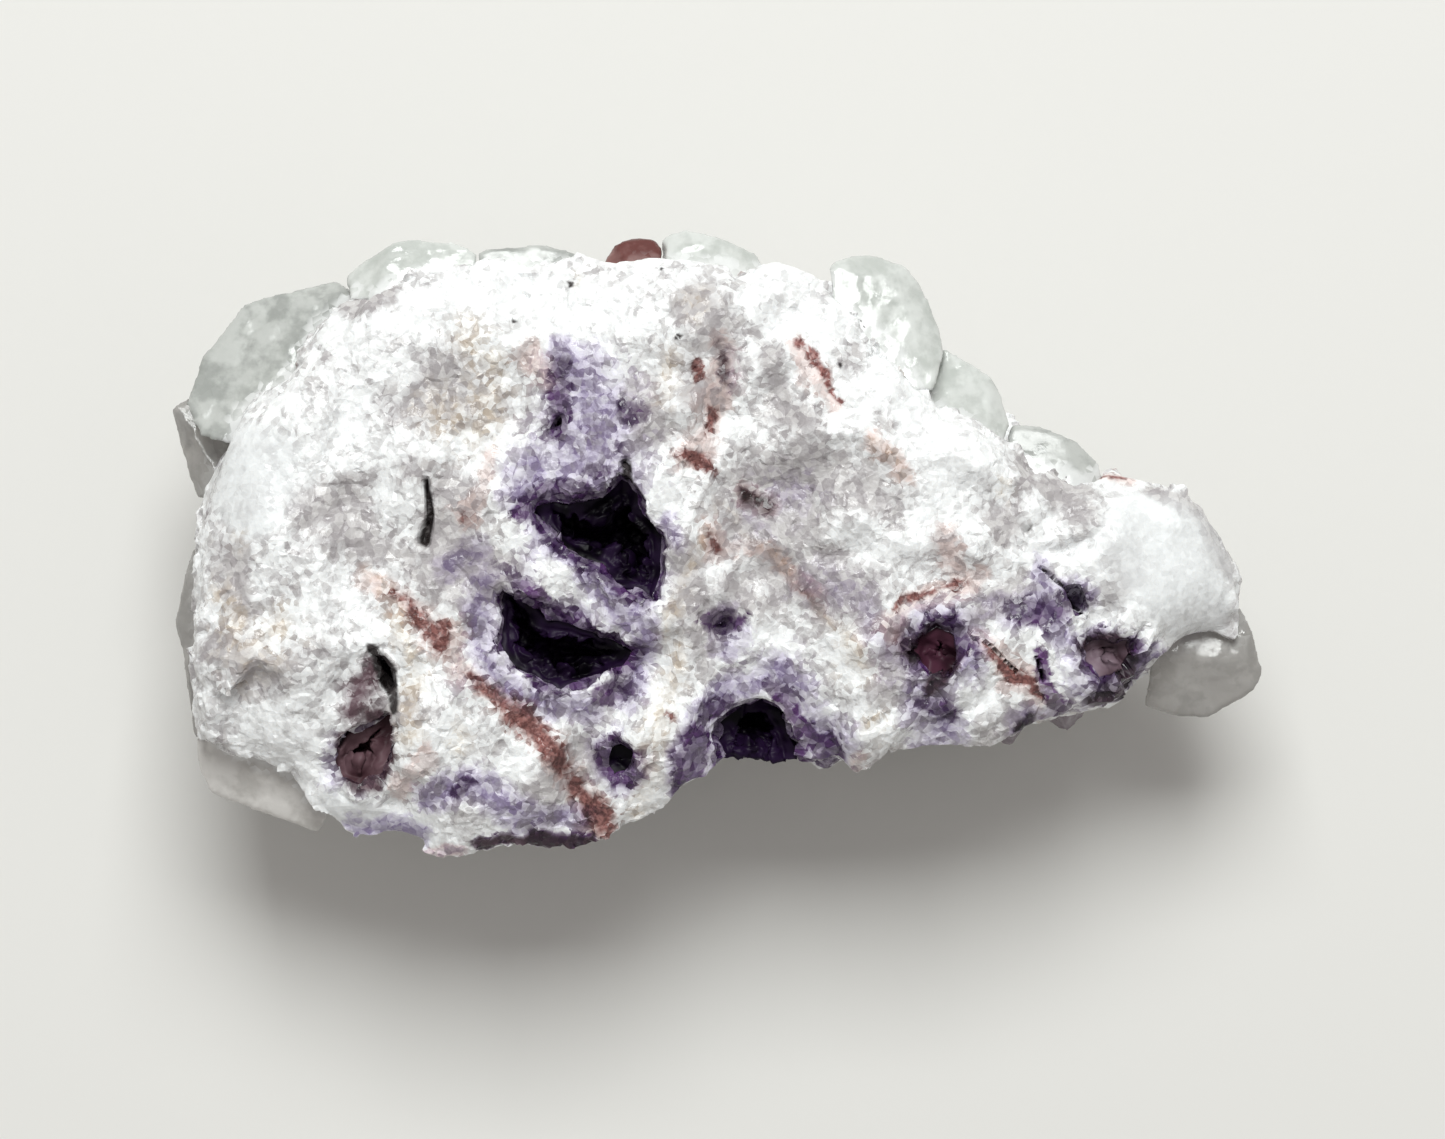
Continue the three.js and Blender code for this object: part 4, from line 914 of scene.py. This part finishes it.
def absorb(paint, colour, density):
    """Light is lost inside the piece, least in this colour, and sooner at a higher density."""
    absorption = paint.tree.nodes.new("ShaderNodeVolumeAbsorption")
    absorption.inputs["Color"].default_value = (*colour, 1)
    absorption.inputs["Density"].default_value = density
    output = paint.tree.nodes["Material Output"].inputs["Volume"]
    paint.tree.links.new(absorption.outputs[0], output)


def glassy_quartz(name, colour, veil, clearness, absorbed, density, frosting):
    """Clear grey quartz with milky veils and fine pale grains in it, frosted next to the rock."""
    paint = Paint(name)
    place = paint.place()
    veils = paint.math("MULTIPLY", paint.noise(place, 3.0, 5.0), 0.7)
    veils = paint.math("MULTIPLY_ADD", paint.noise(place, 0.8, 3.0), 0.3, veils)
    veils = paint.ramp(veils, 0.38, 0.62)
    grain = paint.grain_number(place, 0.6)
    shade = paint.mix(paint.ramp(grain, 0.0, 1.0, 0.0, 0.35), paint.mix(veils, colour, veil), veil)
    frost = paint.math("MULTIPLY_ADD", grain, -0.6, paint.read("frost"))
    frost = paint.ramp(frost, -0.1, 0.5, 0.0, frosting)
    shade = paint.mix(frost, shade, PALE)
    relief = paint.facets(place, 0.7, 0.03)
    relief = paint.bump(paint.noise(place, 0.3, 2.0), 0.01, relief)
    paint.set(Base_Color=shade, IOR=QUARTZ_IOR, Normal=relief)
    paint.set(Roughness=paint.ramp(veils, 0.0, 1.0, 0.1, 0.24))
    clear = paint.ramp(veils, 0.0, 1.0, clearness, 0.7 * clearness)
    clear = paint.math("MULTIPLY", clear, paint.ramp(frost, 0.0, 1.0, 1.0, 0.2))
    paint.set(Transmission_Weight=clear)
    absorb(paint, absorbed, density)
    return paint.material


def amethyst(name, colour, deep, absorbed, density):
    """Dark amethyst with little shine, only a little see-through, and deeper in patches."""
    paint = Paint(name)
    place = paint.place()
    relief = paint.bump(paint.noise(place, 0.4, 2.0), 0.02)
    zones = paint.ramp(paint.noise(place, 2.4, 2.0), 0.35, 0.65)
    paint.set(Base_Color=paint.mix(zones, colour, deep), IOR=QUARTZ_IOR, Normal=relief)
    paint.set(Roughness=0.4, Transmission_Weight=0.15, Specular_IOR_Level=0.02)
    absorb(paint, absorbed, density)
    return paint.material


# ---------------- crystals

# Each kind of glassy quartz: its colour, its veils' colour, how clear it is, the colour that its
# inside absorbs least, that absorption's density per metre, and how white its frosting is.
QUARTZ_KINDS = {
    "clear_grey_quartz": ((0.57, 0.59, 0.565), (0.71, 0.725, 0.70), 0.5, (0.68, 0.72, 0.68), 40.0, 0.7),
    "milky_quartz": ((0.64, 0.67, 0.635), (0.78, 0.80, 0.775), 0.3, (0.82, 0.86, 0.82), 30.0, 0.7),
    "smoky_quartz": ((0.66, 0.64, 0.615), (0.53, 0.51, 0.49), 0.6, (0.60, 0.57, 0.54), 60.0, 0.25),
    "frosted_quartz": ((0.66, 0.635, 0.605), (0.80, 0.775, 0.75), 0.3, (0.78, 0.75, 0.72), 40.0, 0.7),
    "mauve_quartz": ((0.30, 0.245, 0.285), (0.17, 0.125, 0.155), 0.25, (0.60, 0.45, 0.56), 200.0, 0.15),
    "red_stained_quartz": ((0.40, 0.21, 0.195), (0.16, 0.05, 0.045), 0.4, (0.75, 0.30, 0.24), 260.0, 0.1),
}

# The crystals that aren't clear grey.
CRYSTAL_KINDS = {
    "quartz_left_end": "smoky_quartz",
    "quartz_left_tip": "smoky_quartz",
    "quartz_lower_left": "frosted_quartz",
    "quartz_lower_right": "smoky_quartz",
    "quartz_lower_right_rim": "mauve_quartz",
    "quartz_right_shelf": "milky_quartz",
    "quartz_stained_red": "red_stained_quartz",
    "quartz_top_hump": "milky_quartz",
    "quartz_top_left_rim": "milky_quartz",
    "quartz_upper_right": "milky_quartz",
}


def crystal_mesh(name, rock):
    """A crystal node's solid with worn edges and slightly uneven, chipped faces."""
    mesh = finely_meshed(name, CRYSTAL_VOXEL, smoothing(CRYSTAL_WEAR))
    points = points_of(mesh)
    height = layered(clouds, points, CRYSTAL_WAVES, CRYSTAL_WAVE_SEED)
    height += layered(plates, points, CRYSTAL_CHIPS, CRYSTAL_CHIP_SEED)
    points = points + normals_of(mesh) * height[:, None]
    set_points(mesh, within_box(points))
    mesh.shade_smooth()
    _, distances = nearest_on(rock, points)
    add_attribute(mesh, "frost", 1 - distances / FROST_WIDTH)
    return mesh


def add_crystals():
    """Every crystal node's finished piece, in its own kind of quartz."""
    rock = tree_of(MATRIX)
    kinds = {kind: glassy_quartz(kind, *values) for kind, values in QUARTZ_KINDS.items()}
    for name in CRYSTALS:
        kind = CRYSTAL_KINDS.get(name, "clear_grey_quartz")
        new_piece(name + "_crystals", crystal_mesh(name, rock), kinds[kind], name)


# ---------------- crusts of amethyst in the hollows

# Each kind of amethyst: its colour, its deeper zones' colour, the colour that its inside absorbs
# least, and that absorption's density per metre.
AMETHYST_KINDS = {
    # The hollows' amethyst: near black, its deeper zones black, dark amethyst and painted shade in one.
    "violet_amethyst": ((0.016, 0.006, 0.028), (0.002, 0.001, 0.003), (0.16, 0.04, 0.34), 6000.0),
    "mauve_amethyst": ((0.15, 0.085, 0.10), (0.06, 0.025, 0.032), (0.55, 0.22, 0.38), 1500.0),
    "maroon_amethyst": ((0.08, 0.025, 0.045), (0.025, 0.008, 0.014), (0.45, 0.10, 0.24), 2600.0),
    "pale_mauve_amethyst": ((0.24, 0.175, 0.21), (0.09, 0.05, 0.065), (0.66, 0.40, 0.54), 900.0),
}

# The pockets have large, paler points. The other crusts have fine violet ones, partly painted shade.
POCKET_KINDS = {
    "amethyst_left_pocket": "mauve_amethyst",
    "amethyst_right_pocket": "maroon_amethyst",
    "amethyst_far_right_pocket": "pale_mauve_amethyst",
}


def points_height(points, normals, width, seed):
    """0 to 1: how far a wall of packed three-sided crystal tips stands out at each place."""
    cells, offsets = nearest_seed(points, width, seed)
    numbers = random_of(cells, seed + 1, 4) * 2 - 1
    offsets = offsets - normals * (offsets * normals).sum(axis=1)[:, None]
    first = numbers[:, :3] - normals * (numbers[:, :3] * normals).sum(axis=1)[:, None]
    first = first / np.maximum(np.linalg.norm(first, axis=1), TINY)[:, None]
    across = np.cross(normals, first)
    steepest = np.full(len(points), -np.inf)
    for turn in range(3):
        angle = math.tau * turn / 3
        way = first * math.cos(angle) + across * math.sin(angle)
        steepest = np.maximum(steepest, (offsets * way).sum(axis=1))
    return np.clip(TIP_HEIGHT + TIP_VARIETY * numbers[:, 3] - steepest / width * TIP_SLOPE, 0, 1)


def spread(mesh, values):
    """The values carried on over the mesh past where they stop, fading out on the way."""
    ends = np.empty(len(mesh.edges) * 2, dtype=np.int64)
    mesh.edges.foreach_get("vertices", ends)
    first, second = ends.reshape(-1, 2).T
    for _ in range(LIP_ROUNDS):
        reached = values.copy()
        np.maximum.at(reached, first, values[second] * LIP_FADE)
        np.maximum.at(reached, second, values[first] * LIP_FADE)
        values = reached
    return values


def crust_mesh(name, rock, width, height, seed):
    """A hollow's crust with crystal tips packed all over its inner side."""
    mesh = finely_meshed(name, CRUST_VOXEL)
    points = points_of(mesh)
    normals = normals_of(mesh)
    _, distances = nearest_on(rock, points)
    inside = smooth_step(LIP - LIP_INSIDE, LIP, distances)
    lift = height * points_height(points, normals, width, seed) * inside
    up = smooth_step(*LIP_UP, normals[:, 2])
    lip = up * smooth_step(LIP_FROM, LIP, distances) * (distances < LIP)
    drop = LIP_DROP * spread(mesh, lip)
    points = points + normals * lift[:, None]
    points[:, 2] -= drop
    set_points(mesh, within_box(wandered(points, RIM_WANDER, 1, RIM_SEED)))
    mesh.shade_smooth()
    return mesh


def add_crusts():
    """Every crust's finished piece, in its own kind of amethyst."""
    rock = tree_of(MATRIX)
    kinds = {kind: amethyst(kind, *values) for kind, values in AMETHYST_KINDS.items()}
    for turn, name in enumerate(CRUSTS):
        width, height = LARGE_POINTS if name in POCKET_KINDS else FINE_POINTS
        mesh = crust_mesh(name, rock, width, height, CRUST_SEED + CRUST_SEED_STEP * turn)
        # The hollows' crusts are painted near black, partly as painted shade deep in the hollows.
        material = kinds[POCKET_KINDS.get(name, "violet_amethyst")]
        new_piece(name + "_points", mesh, material, name)


# ---------------- camera, light and floor

CAMERA_DISTANCE = 0.4       # m
CAMERA_ELEVATION = 84.0     # degrees
SENSOR = 36.0               # mm
FRAME_WIDTH = 0.10586       # m across the frame at the aim point
AIM = Vector((0.00045, -0.0024, 0.026))
WINDOW_PLACE = (0.0, 0.34, 0.60)  # m
WINDOW_SIZE = 0.38          # m
WINDOW_POWER = 4.6          # W
WINDOW_COLOUR = (0.97, 1.0, 0.985)
SKY_COLOUR = (1.0, 0.975, 0.945)
SKY_STRENGTH = 0.40
FLOOR_HALF = 3.0            # m, half the floor's width
FLOOR_COLOUR = (0.71, 0.70, 0.68)
FLOOR_ROUGHNESS = 0.9


def add_camera():
    """A camera nearly overhead, a little towards the near edge."""
    data = bpy.data.cameras.new("camera")
    data.sensor_width = SENSOR
    data.lens = SENSOR * CAMERA_DISTANCE / FRAME_WIDTH
    data.clip_start = 0.01
    data.clip_end = 10.0
    camera = bpy.data.objects.new("camera", data)
    bpy.context.collection.objects.link(camera)
    elevation = math.radians(CAMERA_ELEVATION)
    back = Vector((0, -math.cos(elevation), math.sin(elevation)))
    camera.location = AIM + back * CAMERA_DISTANCE
    camera.rotation_euler = (-back).to_track_quat("-Z", "Y").to_euler()
    bpy.context.scene.camera = camera


def add_light(name, place, size, power, colour):
    """A soft square lamp that looks at the specimen."""
    data = bpy.data.lights.new(name, "AREA")
    data.shape = "SQUARE"
    data.size = size
    data.energy = power
    data.color = colour
    lamp = bpy.data.objects.new(name, data)
    lamp.location = place
    lamp.rotation_euler = (AIM - Vector(place)).to_track_quat("-Z", "Y").to_euler()
    bpy.context.collection.objects.link(lamp)


def add_sky():
    """A bright plain sky."""
    world = bpy.data.worlds.new("sky")
    world.use_nodes = True
    sky = world.node_tree.nodes["Background"]
    sky.inputs["Color"].default_value = (*SKY_COLOUR, 1)
    sky.inputs["Strength"].default_value = SKY_STRENGTH
    bpy.context.scene.world = world


def add_floor():
    """A plain pale floor under the specimen."""
    mesh = bpy.data.meshes.new("floor")
    corners = [(-FLOOR_HALF, -FLOOR_HALF, 0), (FLOOR_HALF, -FLOOR_HALF, 0)]
    corners += [(FLOOR_HALF, FLOOR_HALF, 0), (-FLOOR_HALF, FLOOR_HALF, 0)]
    mesh.from_pydata(corners, [], [(0, 1, 2, 3)])
    floor = bpy.data.objects.new("floor", mesh)
    bpy.context.collection.objects.link(floor)
    paint = bpy.data.materials.new("pale_floor")
    paint.use_nodes = True
    shader = paint.node_tree.nodes["Principled BSDF"]
    shader.inputs["Base Color"].default_value = (*FLOOR_COLOUR, 1)
    shader.inputs["Roughness"].default_value = FLOOR_ROUGHNESS
    mesh.materials.append(paint)


def add_surroundings():
    """The sky, a soft window light from beyond the far edge, and the floor."""
    bpy.context.scene.view_settings.view_transform = "Standard"
    add_sky()
    add_light("window", WINDOW_PLACE, WINDOW_SIZE, WINDOW_POWER, WINDOW_COLOUR)
    add_floor()


add_camera()
add_surroundings()
new_piece("granular_rock", rock_mesh(), granular_quartz(), MATRIX)
add_crystals()
add_crusts()
